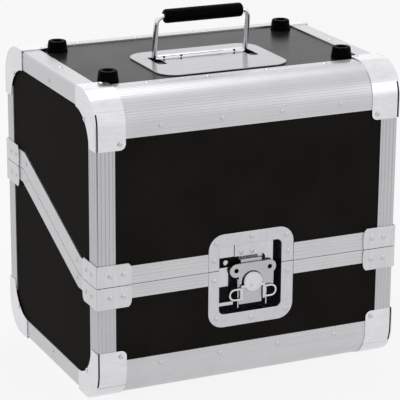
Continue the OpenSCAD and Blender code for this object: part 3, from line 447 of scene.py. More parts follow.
# one laminate in two copies: the top's reflects far more and the sides' hardly at all, a lit and a shaded
# copy
black_side_shaded_copy = laminate("black_laminate", (0.0165, 0.0155, 0.0136), 0.42, 0.003, 0.12)
black_top_lit_copy = laminate("black_laminate_top", (0.0125, 0.0125, 0.0142), 0.25, 0.062, 0.04)
foot_rubber = rubber("foot_rubber", (0.0008, 0.0008, 0.0008), 0.5, 500.0, 0.15)
grip_rubber = rubber("grip_rubber", (0.0006, 0.0006, 0.0006), 0.4, 700.0, 0.1)
foam = rubber("lining_foam", (0.045, 0.045, 0.05), 0.95, 900.0, 0.9)

# ---- panels keep their CAD shape ----
for node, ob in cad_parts.items():
    if node.endswith("_panel"):
        ob.data.materials.clear()
        # the top panel takes the lit copy, the others the shaded copy
        ob.data.materials.append(black_top_lit_copy if node == "lid_top_panel" else black_side_shaded_copy)

# ---- rounded trims ----
LEG_FLAT = REACH - ROUND


def round_edge(s):
    """Place and outward normal on the front top edge, from the front leg's lower end."""
    if s < LEG_FLAT:
        return (-HD, ZT - REACH + s), (-1.0, 0.0)
    if s < LEG_FLAT + ARC_L:
        a = (s - LEG_FLAT) / ROUND
        n = (-math.cos(a), math.sin(a))
        return (ROUND - HD + ROUND * n[0], ZT - ROUND + ROUND * n[1]), n
    return (s - LEG_FLAT - ARC_L + ROUND - HD, ZT), (0.0, 1.0)


GROOVES = 24
MARGIN = 3.2        # kept free of grooves at the ends and round the rivets
edge_length = LEG_FLAT + ARC_L + OVER - ROUND
rivet_rows = (REACH - ROW, edge_length - OVER + ROW)
lines = [MARGIN + i * (edge_length - 2 * MARGIN) / (GROOVES - 1) for i in range(GROOVES)]
lines = [c for c in lines if all(abs(c - row) > MARGIN for row in rivet_rows)]
edge_line = grooved(round_edge, edge_length, lines, 0.75, 0.22, LEG_FLAT, LEG_FLAT + ARC_L, 40)
inner = [(-HD + OVER, ZT - TRIM), (-HD + ROUND, ZT - TRIM), (-HD + ROUND, ZT - TRIM - PANEL),
         (-HD + OVER, ZT - TRIM - PANEL), (-HD + OVER, ZT - RD)]
inner += arc(ROUND - HD, ZT - ROUND, ROUND - RD, 90, 180, 16)
inner += [(-HD + RD, ZT - REACH), (-HD + RD - TRIM, ZT - REACH), (-HD + RD - TRIM, ZT - ROUND),
          (-HD + TRIM, ZT - ROUND), (-HD + TRIM, ZT - REACH)]
trim = prism(edge_line + inner, -IX, IX, "x")
for body, flip in (("lid", False), ("base", True)):
    for sy, where in ((1, "front"), (-1, "back")):
        node = f"{'base_bottom' if flip else 'lid_top'}_{where}_trim"
        piece(node + "_look", mirrored(trim, 1, sy, flip), alu_x, body, [node],
              angle=24)


# ---- flat trims and posts ----

def angle_outline(marks=(5.6, 10.4, 15.2, 19.6)):
    """Angle section with its corner at the origin and grooved faces."""
    r, t = 3.0, TRIM
    flat = LEG - r
    length = 2 * flat + r * math.pi / 2

    def point(s):
        if s < flat:
            return (LEG - s, 0.0), (0.0, -1.0)
        if s < flat + r * math.pi / 2:
            a = (s - flat) / r
            n = (-math.sin(a), -math.cos(a))
            return (r + r * n[0], r + r * n[1]), n
        return (0.0, s - flat - r * math.pi / 2 + r), (-1.0, 0.0)

    cuts = [LEG - m for m in marks] + [length - LEG + m for m in marks]
    outer = grooved(point, length, cuts, 0.9, 0.28, flat, flat + r * math.pi / 2, 8)
    return outer + [(t, LEG), (t, t), (LEG, t)]


section = angle_outline()
side_trim = prism([(-HW + u, ZT - v) for u, v in section], -HD + OVER, HD - OVER, "y")
for body, flip in (("lid", False), ("base", True)):
    for sx, where in ((1, "left"), (-1, "right")):
        node = f"{'base_bottom' if flip else 'lid_top'}_{where}_trim"
        piece(node + "_look", mirrored(side_trim, sx, 1, flip), alu_y, body, [node],
              angle=24)
for part, lo, hi in (("base", lambda z: ZL + REACH, lambda z: z - DOWN),
                     ("lid", lambda z: z + UP, lambda z: ZT - REACH)):
    for sy, fb, seam in ((1, "front", ZF), (-1, "back", ZB)):
        post = prism([(-HW + u, -HD + v) for u, v in section], lo(seam), hi(seam), "z")
        for sx, lr in ((1, "left"), (-1, "right")):
            node = f"{part}_{fb}_{lr}_post"
            # the posts take the darker copy of the trims' aluminium: painted shade
            piece(node + "_look", mirrored(post, sx, sy), alu_posts_painted_shade, part, [node],
                  angle=24)


# ---- closing profiles along the parting line: sections of depth and height ----

def face_line(v0, v1, marks):
    """Outer face of a section from height v0 to v1, with grooves at the heights in marks."""
    up = v1 > v0
    out = [(0.0, v0)]
    for m in sorted(marks, reverse=not up):
        s = 1 if up else -1
        out += [(0.0, m - 0.55 * s), (0.28, m - 0.2 * s), (0.28, m + 0.2 * s), (0.0, m + 0.55 * s)]
    return out + [(0.0, v1)]


tongue = [(TONGUE_OUT, -GAP), (TONGUE_OUT, TONGUE_H), (TONGUE_IN, TONGUE_H), (TONGUE_IN, -GAP)]
groove = [(GROOVE_IN, GAP), (GROOVE_IN, GROOVE_H), (GROOVE_OUT, GROOVE_H), (GROOVE_OUT, GAP)]
base_rim = face_line(-DOWN, -GAP, DOWN_MARKS) + tongue
base_rim += [(RD, -GAP), (RD, -BASE_LEG), (RD - TRIM, -BASE_LEG), (RD - TRIM, -BASE_STEP),
             (TRIM, -BASE_STEP), (TRIM, -DOWN)]
base_plain = [p for p in base_rim if p not in tongue]
lid_rim = face_line(GAP, UP, UP_MARKS)
lid_rim += [(TRIM, UP), (TRIM, LID_STEP), (RD - TRIM, LID_STEP), (RD - TRIM, LID_LEG), (RD, LID_LEG),
            (RD, GAP)]
lid_rim += groove
lid_plain = [p for p in lid_rim if p not in groove]


def wall_rim(outline, seam, x0, x1):
    """A section run straight along the front wall."""
    return prism([(-HD + d, seam + v) for d, v in outline], x0, x1, "x")


def side_rim(outline):
    """A section swept along the left parting line, with mitred bends."""
    n = len(outline)
    stops = ((-HD, 0, ZF), (-BEND, MITRE, ZF), (BEND, MITRE, ZB), (HD, 0, ZB))
    verts = [Vector((-HW + d, y - v * lean_in, seam + v)) for y, lean_in, seam in stops for d, v in outline]
    faces = [[s * n + i, s * n + (i + 1) % n, (s + 1) * n + (i + 1) % n, (s + 1) * n + i]
             for s in range(3) for i in range(n)]
    return verts, faces + [list(range(n)), list(range(4 * n - 1, 3 * n - 1, -1))]


flange_l, flange_r = LX - LW - GAP, LX + LW + GAP
hole_l, hole_r = OX - OW - 1.5, OX + OW + 1.5
for part, section, plain, marks, low, high, inner_low, inner_high in (
        ("base", base_rim, base_plain, DOWN_MARKS, -DOWN, -GAP, ZF - BASE_LEG, ZF - GAP),
        ("lid", lid_rim, lid_plain, UP_MARKS, GAP, UP, ZF + GAP, ZF + LID_STEP)):
    for sx, lr in ((1, "left"), (-1, "right")):
        piece(f"{part}_{lr}_rim_look", mirrored(side_rim(section), sx), alu_y, part,
              [f"{part}_{lr}_rim"], angle=20)
    skin = face_line(low, high, marks) + [(TRIM, high), (TRIM, low)]
    halves = [wall_rim(section, ZF, -HW + RD, flange_l), wall_rim(section, ZF, flange_r, HW - RD),
              wall_rim(skin, ZF, -SX, -HW + RD), wall_rim(skin, ZF, HW - RD, SX),
              block((flange_l, -SY, inner_low), (hole_l, -IY, inner_high)),
              block((hole_r, -SY, inner_low), (flange_r, -IY, inner_high))]
    piece(f"{part}_front_rim_look", merge(*halves), alu_x, part, [f"{part}_front_rim"],
          angle=20)
    back = merge(wall_rim(plain, ZB, -HW + RD, HW - RD), wall_rim(skin, ZB, -SX, -HW + RD),
                 mirrored(wall_rim(skin, ZB, -SX, -HW + RD), -1))
    piece(f"{part}_back_rim_look", mirrored(back, 1, -1), alu_x, part, [f"{part}_back_rim"],
          angle=20)


# ---- corner caps, drawn for the front top left corner with the corner at the origin ----

def nick(s, r):
    """How far a rounded tab corner cuts in at the distance s from the tab's end."""
    return 0.0 if s >= r else r - math.sqrt(max(r * r - (r - s) ** 2, 0.0))


def shell(rows, thick):
    """A sheet from rows of (outer point, normal, x0, x1)."""
    verts, faces = [], []
    for (u, w), (nu, nw), x0, x1 in rows:
        verts += [Vector((x0, u, w)), Vector((x1, u, w)),
                  Vector((x1, u - nu * thick, w - nw * thick)), Vector((x0, u - nu * thick, w - nw * thick))]
    for i in range(len(rows) - 1):
        for k in range(4):
            a, b = 4 * i + k, 4 * i + (k + 1) % 4
            faces.append([a, b, b + 4, a + 4])
    n = len(verts)
    return verts, faces + [[3, 2, 1, 0], [n - 4, n - 3, n - 2, n - 1]]


TOP_FLAT = CAP_OVER - ROUND
LOW_FLAT = CAP_DOWN - ROUND
CAP_END = TOP_FLAT + ARC_L + LOW_FLAT
FOLD = TOP_FLAT + ROUND * math.radians(61)    # where the top wrap meets the front strip


def cap_path(s, t):
    """Point and normal on the cap's outer face at t outside the trim, from the top tab's end."""
    if s < TOP_FLAT:
        return (CAP_OVER - s, t), (0.0, 1.0)
    a = (s - TOP_FLAT) / ROUND
    if a < math.pi / 2:
        n = (-math.sin(a), math.cos(a))
        return (ROUND + (ROUND + t) * n[0], -ROUND + (ROUND + t) * n[1]), n
    return (-t, -ROUND - (s - TOP_FLAT - ARC_L)), (-1.0, 0.0)


def cap_sheets():
    """The wrap over the top, the strip down the front and the fold under their seam."""
    tab = [0.0, 0.15, 0.6, 1.3, 2.2, 3.4, 5.0, TAB_R]
    arc_s = [TOP_FLAT + ARC_L * i / 32 for i in range(33)]
    top = tab + [TOP_FLAT] + [s for s in arc_s if TOP_FLAT < s < FOLD - 0.4] + [FOLD - 0.4]
    low = [FOLD + 0.4] + [s for s in arc_s if s > FOLD + 0.4] + [CAP_END - s for s in reversed(tab)]
    strip_t = CAP - 0.25
    wrap = [(*cap_path(s, CAP), -0.7, CAP_W - nick(s, TAB_R)) for s in top]
    strip = [(*cap_path(s, strip_t), 1.9, CAP_W - nick(CAP_END - s, TAB_R)) for s in low]
    under = [(*cap_path(s, 0.6), -0.6, CAP_W - 0.5) for s in (FOLD - 1.5, FOLD, FOLD + 1.5)]
    return shell(wrap, CAP), shell(strip, strip_t), shell(under, 0.5)


def cap_flange():
    """The cap's flat side with its hollow inner edge."""
    outline = [(CAP_OVER, CAP)] + arc(ROUND, -ROUND, ROUND + CAP, 90, 180, 24) + [(-CAP, -CAP_DOWN)]
    lead = math.degrees(math.asin(2 / HOLLOW_R))
    outline += arc(CAP_OVER + 2, -CAP_DOWN - 2, HOLLOW_R, 180 - lead, 90 + lead, 24)
    return side_plate([outline], -CAP, CAP, 0.4)


def cap_slit():
    """Near-black sheet at the bottom of the slit between a cap's front strip and its side flange, painted
    shade of the slit's depth.
    """
    places = [FOLD + 1 + (CAP_END - FOLD - 1.4) * i / 24 for i in range(25)]
    return shell([(*cap_path(s, 0.4), -0.2, 2.1) for s in places], 0.35)


def at_corners(geo, flip):
    """Four copies of a front left piece, at the top or at the bottom."""
    return merge(*[mirrored(geo, sx, sy, flip) for sx in (1, -1) for sy in (1, -1)])


cap = shift(merge(*cap_sheets(), cap_flange()), -HW, -HD, ZT)
slit = shift(cap_slit(), -HW, -HD, ZT)
for part, flip in (("lid", False), ("base", True)):
    # the slits' bottoms are painted shade
    piece(f"{part}_cap_slit_shades", at_corners(slit, flip), painted_shade_steel, part, (), angle=30)
    piece(f"{part}_corner_caps_look", at_corners(cap, flip), cap_steel, part,
          [f"{part}_corner_caps"], angle=30)


# ---- split corner brackets ----

def half_bracket():
    """Upper half at the front left corner, above the parting line at the origin."""
    leg = [(-0.9, GAP), (40.6, GAP), (41.4, 6.0), (41.6, 13.0), (41.2, 20.0), (40.0, 23.2),
           (37.4, 26.0), (-0.9, 26.0)]
    front = front_plate([leg], -BRACKET, BRACKET, 0.3)
    side = side_plate([leg], -BRACKET, BRACKET, 0.3)
    quarter = arc(0.0, 0.0, BRACKET, 180, 270, 6)
    bend = prism([(0.0, 0.0)] + quarter, GAP + 0.1, 25.9, "z")
    return merge(front, side, bend)


bracket = half_bracket()
for part, flip in (("lid", 1), ("base", -1)):
    parts = []
    half = moved(bracket, Matrix.Diagonal((1, 1, flip, 1)))
    for sy, seam in ((1, ZF), (-1, ZB)):
        parts += [mirrored(shift(half, -HW, -HD, seam), sx, sy) for sx in (1, -1)]
    piece(f"{part}_corner_brackets_look", merge(*parts), plate_steel, part,
          [f"{part}_corner_brackets"], angle=30)


# ---- rivets ----

dome = lathe([(3.0, 0.0), (3.0, 0.18), (2.85, 0.3), (2.55, 0.36), (2.35, 0.5), (2.0, 0.78), (1.5, 0.98),
              (0.8, 1.08), (0.0, 1.1)], 28)


def front_rivet(x, z, lift):
    """A rivet on the front, lift above the trims' face."""
    return shift(moved(dome, TO_FRONT), x, -HD - lift, z)


def left_rivet(y, z, lift):
    """A rivet on the left side."""
    return shift(moved(dome, TO_LEFT), -HW - lift, y, z)


def edge_rivets(on_tab):
    """Rivets round the top; the underside has none on the caps' tabs."""
    out = []
    for sy in (1, -1):
        row = []
        for x in ROW_X:
            row += [front_rivet(x, ZT - ROW, 0), shift(dome, x, -HD + ROW, ZT)]
        at_cap = [front_rivet(-HW + CAP_W - TAB_R, ZT - CAP_DOWN + TAB_R, CAP),
                  left_rivet(-HD + ROUND - 6, ZT - ROUND + 6, CAP)]
        if on_tab:
            at_cap.append(shift(dome, -HW + CAP_W - TAB_R, -HD + CAP_OVER - 4, ZT + CAP))
        at_cap = merge(*at_cap)
        out.append(mirrored(merge(*row, at_cap, mirrored(at_cap, -1)), 1, sy))
    pair = merge(left_rivet(0, ZT - LEG / 2 - 3, 0), shift(dome, -HW + LEG / 2 + 3, 0, ZT))
    return merge(*out, pair, mirrored(pair, -1))


def seam_rivets(d, band):
    """Rivets of the brackets, the slanted bands and the hinge leaves; d is 1 above the parting line."""
    out = []
    for sy, seam in ((1, ZF), (-1, ZB)):
        z = seam + d * 13
        at_bracket = merge(*[front_rivet(-HW + run, z, BRACKET) for run in (15, 31)],
                           *[left_rivet(-HD + run, z, BRACKET) for run in (15, 31)])
        out += [mirrored(at_bracket, 1, sy), mirrored(at_bracket, -1, sy)]
    strip = merge(*[left_rivet(y, (ZF + ZB) / 2 + y * math.tan(SLOPE) + band / math.cos(SLOPE), 0)
                    for y in (-BEND + 8, BEND - 8)])
    for cx in reversed(HINGE_X):
        for dx in (-0.62, 0.62):
            out.append(mirrored(front_rivet(cx + dx * LEAF_HALF, ZB + d * 27, LEAF_T), 1, -1))
    return merge(*out, strip, mirrored(strip, -1))


def dish_rivets(d):
    """Five rivets round one half of the latch flange."""
    edge = LU if d > 0 else -LD
    out = [front_rivet(LX, ZF + edge - d * 6.7, 0)]
    for s in (1, -1):
        out.append(front_rivet(LX + s * (LW - 9.6), ZF + edge - d * 11, 0))
        out.append(front_rivet((LX + OX + s * (LW + OW)) / 2, ZF + d * 12, 0))
    return merge(*out)


lid_rivets = merge(edge_rivets(True), seam_rivets(1, UP / 2), dish_rivets(1))
piece("lid_rivets_look", lid_rivets, rivet_steel, "lid", ["lid_rivets"], weighted=False)
base_rivets = merge(mirrored(edge_rivets(False), 1, 1, True), seam_rivets(-1, -DOWN / 2), dish_rivets(-1))
piece("base_rivets_look", base_rivets, rivet_steel, "base", ["base_rivets"], weighted=False)


# ---- feet ----

foot = lathe([(0.0, 0.0), (12.4, 0.0), (12.4, 0.9), (12.2, 1.5), (10.9, 11.4), (10.5, 12.5), (9.8, 13.0),
              (6.6, 13.0), (5.9, 12.7), (5.6, 12.0), (5.5, 4.0), (0.0, 4.0)], 48)
screw = lathe([(4.0, 4.0), (3.9, 4.9), (3.0, 5.7), (1.5, 6.1), (0.0, 6.2)], 32)
spots = [(sx * FOOT_X, sy * FOOT_Y) for sx in (1, -1) for sy in (1, -1)]
piece("lid_feet_look", merge(*[shift(foot, x, y, PT) for x, y in spots]), foot_rubber, "lid",
      ["lid_feet"], weighted=False)
piece("foot_screws", merge(*[shift(screw, x, y, PT) for x, y in spots]), hinge_steel, "lid", (),
      weighted=False)


# ---- handle ----

def slot_pair():
    """The two leg slots joined by the channel that the barrel covers."""
    x0, x1, y0, y1, r = BHALF - 5.5, BHALF + 5.5, -28.0, 8.0, 3.0
    right = arc(x1 - r, y0 + r, r, -90, 0, 6) + arc(x1 - r, y1 - r, r, 0, 90, 6)
    right += arc(x0 + r, y1 - r, r, 90, 180, 6) + [(x0, 4.0)]
    low = [(x0, -4.0)] + arc(x0 + r, y0 + r, r, 180, 270, 6)
    left = [(-x, y) for x, y in reversed(right)]
    left_low = [(-x, y) for x, y in reversed(low)]
    return [(HX + x, HY + y) for x, y in right + left + left_low + low]


notches = [round_rect(HX + x - 6, HY + 6.1, HX + x + 6, HY + 11.1, 0.8, 3) for x in (-26, 22)]
outline = round_rect(HX - PLATE_HALF, -HD + OVER + PLATE_GAP, HX + PLATE_HALF, HY + PLATE_BACK, PLATE_R, 14)
sheet = shift(plate([outline, slot_pair(), *notches], PLATE_T, 0.5, 3), 0, 0, PT + PLATE_T / 2)
# the plate takes the darker, blotchy chrome copy: painted reflections
piece("handle_plate_sheet", sheet, plate_chrome_painted_reflection, "lid", ["handle_plate"], angle=30)
barrel_half = BHALF - WIRE - 1.2
barrel_l = 2 * barrel_half
barrel_bore = WIRE + 0.06
barrel = lathe([(barrel_bore, 0.0), (BARREL - 0.6, 0.0), (BARREL - 0.2, 0.25), (BARREL, 0.8),
                (BARREL, barrel_l - 0.8), (BARREL - 0.2, barrel_l - 0.25), (BARREL - 0.6, barrel_l),
                (barrel_bore, barrel_l), (barrel_bore, 0.0)], 48)
barrel = shift(moved(barrel, ALONG_X), HX - barrel_half, HY, BZ)
piece("handle_barrel", barrel, chrome, "lid", (), angle=40)
# near-black discs on the barrel stand for its holes: painted shade in place of the holes' dark insides
hole_shade_disc = lathe([(1.5, 0.0), (1.5, 0.12), (0.0, 0.12)], 20)
hole_shade_disc = moved(hole_shade_disc, Matrix.Rotation(math.radians(55), 4, "X"))
hole_r = BARREL - 0.04      # the discs stand just above the barrel's face, 35 degrees up its front
hole_y = HY - hole_r * math.cos(math.radians(35))
hole_z = BZ + hole_r * math.sin(math.radians(35))
holes = [shift(hole_shade_disc, x, hole_y, hole_z) for x in (-50, -28, 41)]
piece("barrel_hole_shades", merge(*holes), painted_shade_steel, "lid", (), weighted=False)

bend_r, foot_bend = 9.0, 3.2
path = [(BHALF - 28, 0, 0)]
path += [(x, 0, z) for x, z in arc(BHALF - foot_bend, foot_bend, foot_bend, -90, 0, 8)]
path += [(x, 0, z) for x, z in arc(BHALF - bend_r, RISE - bend_r, bend_r, 0, 90, 12)]
path += [(-x, 0, z) for x, _, z in reversed(path)]
lean = Matrix.Translation((HX, HY, BZ)) @ Matrix.Rotation(TILT, 4, "X")
piece("handle_bail_look", moved(tube(path, WIRE, 28), lean), chrome, "bail", ["handle_bail"],
      angle=40, weighted=False)
grip_end = [(WIRE + 0.05, 0.0), (5.4, 0.0), (6.9, 0.35), (7.8, 1.2), (8.2, 2.4), (8.3, 3.6)]
grip = grip_end + [(r, GRIP_L - h) for r, h in reversed(grip_end)] + [grip_end[0]]
grip = shift(moved(lathe(grip, 48), ALONG_X), -GRIP_L / 2, 0, RISE)
piece("handle_grip_look", moved(grip, lean), grip_rubber, "bail", ["handle_grip"],
      weighted=False)


# ---- latch dish: two halves of the flange and of the recess ----

def half_ring(middle, half, edge, r, s, n):
    """Half of a rounded outline above or below the parting line, from right to left."""
    right = [(middle + half, s * GAP)]
    right += [(middle + x, s * z) for x, z in arc(half - r, edge - r, r, 0, 90, n)]
    return right + [(2 * middle - x, z) for x, z in reversed(right)]


def dish_half(s):
    """Outlines of half the dish: its flange, the recess's wall, and the wall's outer line."""
    flange = half_ring(LX, LW, LU if s > 0 else LD, LR, s, 14)
    depth = OU if s > 0 else OD
    hole = half_ring(OX, OW, depth, OR, s, 8)
    wall = half_ring(OX, OW + FLOOR_T, depth + FLOOR_T, OR + FLOOR_T, s, 8)
    return [[(x, ZF + z) for x, z in pts] for pts in (flange + hole[::-1], wall + hole[::-1], wall)]


floor_y = -HD + FLOOR
for s, part, node in ((1, "lid", "latch_upper_dish"), (-1, "base", "latch_lower_dish")):
    flange, wall, full = dish_half(s)
    piece(node + "_flange", front_plate([flange], -HD - 0.02, 1.5, 0.6), flange_steel, part, [node],
          angle=30)
    # the recess wall takes the darker copy of the dish's steel: painted shade
    piece(node + "_wall", prism(wall, -HD + 0.9, floor_y + FLOOR_T, "y"), wall_steel_painted_shade, part, (),
          angle=30)
    # the recess floor is near-black: painted shade at the bottom of the recess
    piece(node + "_floor", prism(full, floor_y, floor_y + FLOOR_T, "y"), painted_shade_steel, part, (),
          angle=30)


# ---- keeper: folded plate with a slot open to the left and below, stop plate and knob ----

ky = -HD + 9.2      # front face of the keeper
kt = 1.5            # its sheet
wall_x = OX - OW    # the recess's left wall
kx0, kx1, slot_x, slot_z = TX - 20.6, TX + 29, TX + 18.8, ZF + 11.1
k_low, k_high = ZF + 0.5, ZF + 27.1
keeper_line = [(kx0, slot_z), (kx0, k_high), (kx1, k_high), (kx1, k_low), (slot_x, k_low)]
keeper_line += arc(slot_x - 5, slot_z - 5, 5, 0, 90, 6)
keeper = front_plate([keeper_line], ky, kt, 0.3)
fold_y, fold_top = ky + 1.2, k_high - 0.2
folds = [block((kx0, fold_y, slot_z + 0.2), (kx0 + kt, floor_y, fold_top)),
         block((kx1 - kt, fold_y, k_low + 0.2), (kx1, floor_y, fold_top)),
         block((kx0, fold_y, fold_top - kt), (kx1, floor_y, fold_top)),
         block((wall_x + 3, fold_y, slot_z + 0.7), (kx0 - 1.0, floor_y, fold_top)),
         block((TX - 13.4, floor_y - 0.8, slot_z - 10), (kx1 - kt, floor_y, fold_top - kt))]
lead = OR - OU + k_high - ZF
turn_a = math.degrees(math.asin(lead / OR))
stop_line = [(kx0 - 0.8, k_high), (kx0 - 0.8, slot_z + 0.5), (wall_x + 0.1, slot_z + 0.5)]
stop_line += [(x, z) for x, z in arc(wall_x + OR, ZF + OU - OR, OR - 0.1, 180, 180 - turn_a, 8)]
stop = front_plate([stop_line], ky, kt, 0.3)
piece("latch_keeper_look", merge(keeper, stop, *folds), latch_steel, "lid", ["latch_keeper"],
      angle=30)
knob = lathe([(3.4, 0), (3.4, 4.0), (2.9, 4.7), (1.6, 5.1), (0, 5.1)], 28)
knob = shift(moved(knob, TO_FRONT), wall_x + 12.5, floor_y, ZF + 5)
piece("keeper_knob", knob, latch_steel, "lid", (), weighted=False)
keeper_rivets = merge(*[shift(moved(dome, TO_FRONT), x, ky, ZF + 15.9) for x in (-7.7, 6.5)])
piece("keeper_rivets", keeper_rivets, rivet_steel, "lid", (), weighted=False)


# ---- housing on the base ----

house = block((TX - 24, floor_y - 2, TZ - 31), (TX + 24, floor_y, ZF - 2))
# the housing is near-black: painted shade inside the latch recess
piece("latch_housing_look", house, painted_shade_steel, "base", ["latch_housing"], bevel=0.25)
cheeks = [block((TX - 18.8, -HD + 4.0, TZ - 31), (TX - 17.4, floor_y, TZ + 4)),
          block((TX + 17.4, -HD + 4.0, TZ - 31), (TX + 18.8, floor_y, TZ - 8.8))]
bush = shift(moved(lathe([(4.05, 0), (6.5, 0), (6.5, 5.5), (4.05, 5.5), (4.05, 0)], 40), TO_FRONT),
             TX, floor_y, TZ)
stay = [(wall_x, ky), (TX - 28.8, ky), (TX - 22.4, floor_y), (wall_x, floor_y)]
stay = prism(stay, TZ - 4.5, ZF - 0.4, "z")
footing = block((wall_x, ky, TZ - 28.2), (TX - 22, floor_y, TZ - 24))
piece("latch_housing_cheeks", merge(bush, stay, footing, *cheeks), latch_steel, "base", (),
      bevel=0.3)


# ---- turn disc, wings and hook plate, drawn about the turn axis with depths from the front ----

WING_X, WING_Z, RING, RING_X = 14.2, -14.0, 7.4, -23.3
disc = lathe([(0, -0.2), (11.0, -0.2), (11.5, -0.35), (11.8, -0.8), (11.8, -2.4), (4.0, -2.4),
              (4.0, -13.6), (0, -13.6)], 56)
rim = lathe([(9.6, -0.25), (9.6, 0.02), (10.2, 0.1), (10.8, 0.02), (10.9, -0.25)], 56)
disc = shift(moved(merge(disc, rim), TO_FRONT), 0, 0.4, 0)
pip = lathe([(1.7, -0.25), (1.6, 0.4), (1.2, 1.1), (0.6, 1.5), (0.0, 1.6)], 24)
pip = shift(moved(pip, TO_FRONT), -2, 0.4, -4)
cam_disc = shift(moved(lathe([(0, -4.4), (7.0, -4.4), (7.0, -5.8), (0, -5.8)], 40), TO_FRONT), 0, 0, -1.8)
lug_z = WING_Z + RING + 0.3
lugs = []
for s in (1, -1):
    arm = [(9.8, lug_z), (15.0, lug_z), (15.4, lug_z + 0.5), (15.4, lug_z + 2.0), (14.4, lug_z + 3.0),
           (9.8, lug_z + 3.0)]
    arm = front_plate([arm], 0.8, 2.0, 0.3)
    low = lug_z - 2 * RING - 0.6
    pin = lathe([(0, -1), (0.9, -1), (1.2, -0.7), (1.2, 0), (0.7, 0), (0.7, lug_z - low + 1),
                 (0, lug_z - low + 1)], 20)
    lug = merge(arm, shift(pin, WING_X, 2.0, low))
    lugs.append(moved(lug, Matrix.Diagonal((s, 1, 1, 1))))
turn = shift(merge(disc, pip, cam_disc, *lugs), TX, -HD, TZ)
piece("latch_turn_disc_look", turn, turn_steel, "latch_turn", ["latch_turn_disc"], angle=30)


def wing_line(t, hinge_side):
    """Outline of the left wing, drawn in by t."""
    r = RING - t
    return [(hinge_side, WING_Z - r)] + arc(RING_X, WING_Z, r, 270, 90, 28) + [(hinge_side, WING_Z + r)]


def wing():
    """Left wing: flat ring with its knuckle."""
    flat = front_plate([wing_line(0, -WING_X - 0.8), wing_line(2.2, -WING_X - 2.2)], 1.25, 1.5, 0.4)
    knuckle = lathe([(0.76, 0), (1.3, 0), (1.5, 0.2), (1.5, 14.6), (1.3, 14.8), (0.76, 14.8), (0.76, 0)], 28)
    return merge(flat, shift(knuckle, -WING_X, 2.0, WING_Z - RING))


for s, side in ((1, "left"), (-1, "right")):
    g = shift(moved(wing(), Matrix.Diagonal((s, 1, 1, 1))), TX, -HD, TZ)
    piece(f"latch_{side}_wing_look", g, turn_steel, f"latch_wing_{side}", [f"latch_{side}_wing"],
          angle=34)

EAR_Z, EAR_R, EAR_LEFT, EAR_RIGHT = 14.3, 8.2, -20.2, 22.8
top = EAR_Z + EAR_R
hook = [(-17, -26.4), (-16, -27.4), (11.6, -27.4), (12.6, -26.4), (12.6, -7.8), (26.8, -7.8), (27.8, -6.8)]
hook += arc(EAR_RIGHT, EAR_Z, EAR_R, -52, 90, 14) + arc(EAR_LEFT, EAR_Z, EAR_R, 90, 293, 20)
window = arc(0, -1, 13.2, -17.6, 197.6, 30) + arc(0, -1.8, 9.5, 199.7, 340.3, 20)
ear_holes = [arc(x, EAR_Z, 2.8, 0, 360, 24)[:-1] for x in (EAR_LEFT, EAR_RIGHT)]
hook_plate = front_plate([hook, window, *ear_holes], 4.2, 1.8, 0.35)
riser = [(4.7, top - 3), (8.9, top - 3), (8.9, top + 3.6), (8.6, top + 3.9), (7.4, top + 3.9),
         (7.1, top + 3.6), (7.1, top - 0.5), (4.7, top - 0.5)]
lip = [(8.4, top + 0.6), (12.1, top + 0.6), (12.1, top + 2.8), (8.4, top + 2.8)]
hook_plate = merge(hook_plate, prism(riser, -13.4, 13.4, "x"), prism(lip, -12.4, 12.4, "x"))
piece("latch_hook_plate_look", shift(hook_plate, TX, -HD, TZ), hook_steel, "latch_hook",
      ["latch_hook_plate"], angle=30)


# ---- hinges on the back ----

lid_leaf = [(-LEAF_HALF, 5.4), (-LEAF_HALF, 32.5), (-17.5, 34), (17.5, 34), (LEAF_HALF, 32.5),
            (LEAF_HALF, 0.4), (0.3, 0.4), (0.3, 5.4)]
base_leaf = [(-x, -z) for x, z in reversed(lid_leaf)]
knuckle = lathe([(2.56, 0), (3.9, 0), (4.2, 0.3), (4.2, 18.4), (3.9, 18.7), (2.56, 18.7), (2.56, 0)], 36)
knuckle = moved(knuckle, ALONG_X)
for part, node, leaf, start in (("base", "hinge_lower_leaves", base_leaf, -LEAF_HALF),
                                ("lid", "hinge_upper_leaves", lid_leaf, 0.3)):
    flat = moved(plate([leaf], LEAF_T, 0.3), TO_FRONT)
    parts = []
    for cx in HINGE_X:
        parts += [shift(flat, cx, HD + LEAF_T / 2, ZB), shift(knuckle, cx + start, HINGE_Y, ZB)]
    piece(node + "_look", merge(*parts), hinge_steel, part, [node], angle=30)
pin = lathe([(0, 0), (2.1, 0), (2.5, 0.4), (2.5, 35.6), (2.1, 36), (0, 36)], 28)
pins = [shift(moved(pin, ALONG_X), cx - LEAF_HALF, HINGE_Y, ZB) for cx in HINGE_X]
piece("hinge_pins_look", merge(*pins), hinge_steel, "base", ["hinge_pins"], weighted=False)


# ---- lining ----

def soft(name, geo, part, nodes):
    """A foam pad."""
    ob = piece(name, geo, foam, part, nodes, bevel=2.4, segments=4)


def side_pad(points):
    """A pad on the left wall from its outline in Y and Z."""
    return prism(points, -IX, -IX + SIDE_PAD, "x")


def seam_points(up):
    """The parting line's four points at a height above it, from the front to the back."""
    return [(-pad_y, ZF + up), (-BEND - up * MITRE, ZF + up), (BEND - up * MITRE, ZB + up), (pad_y, ZB + up)]


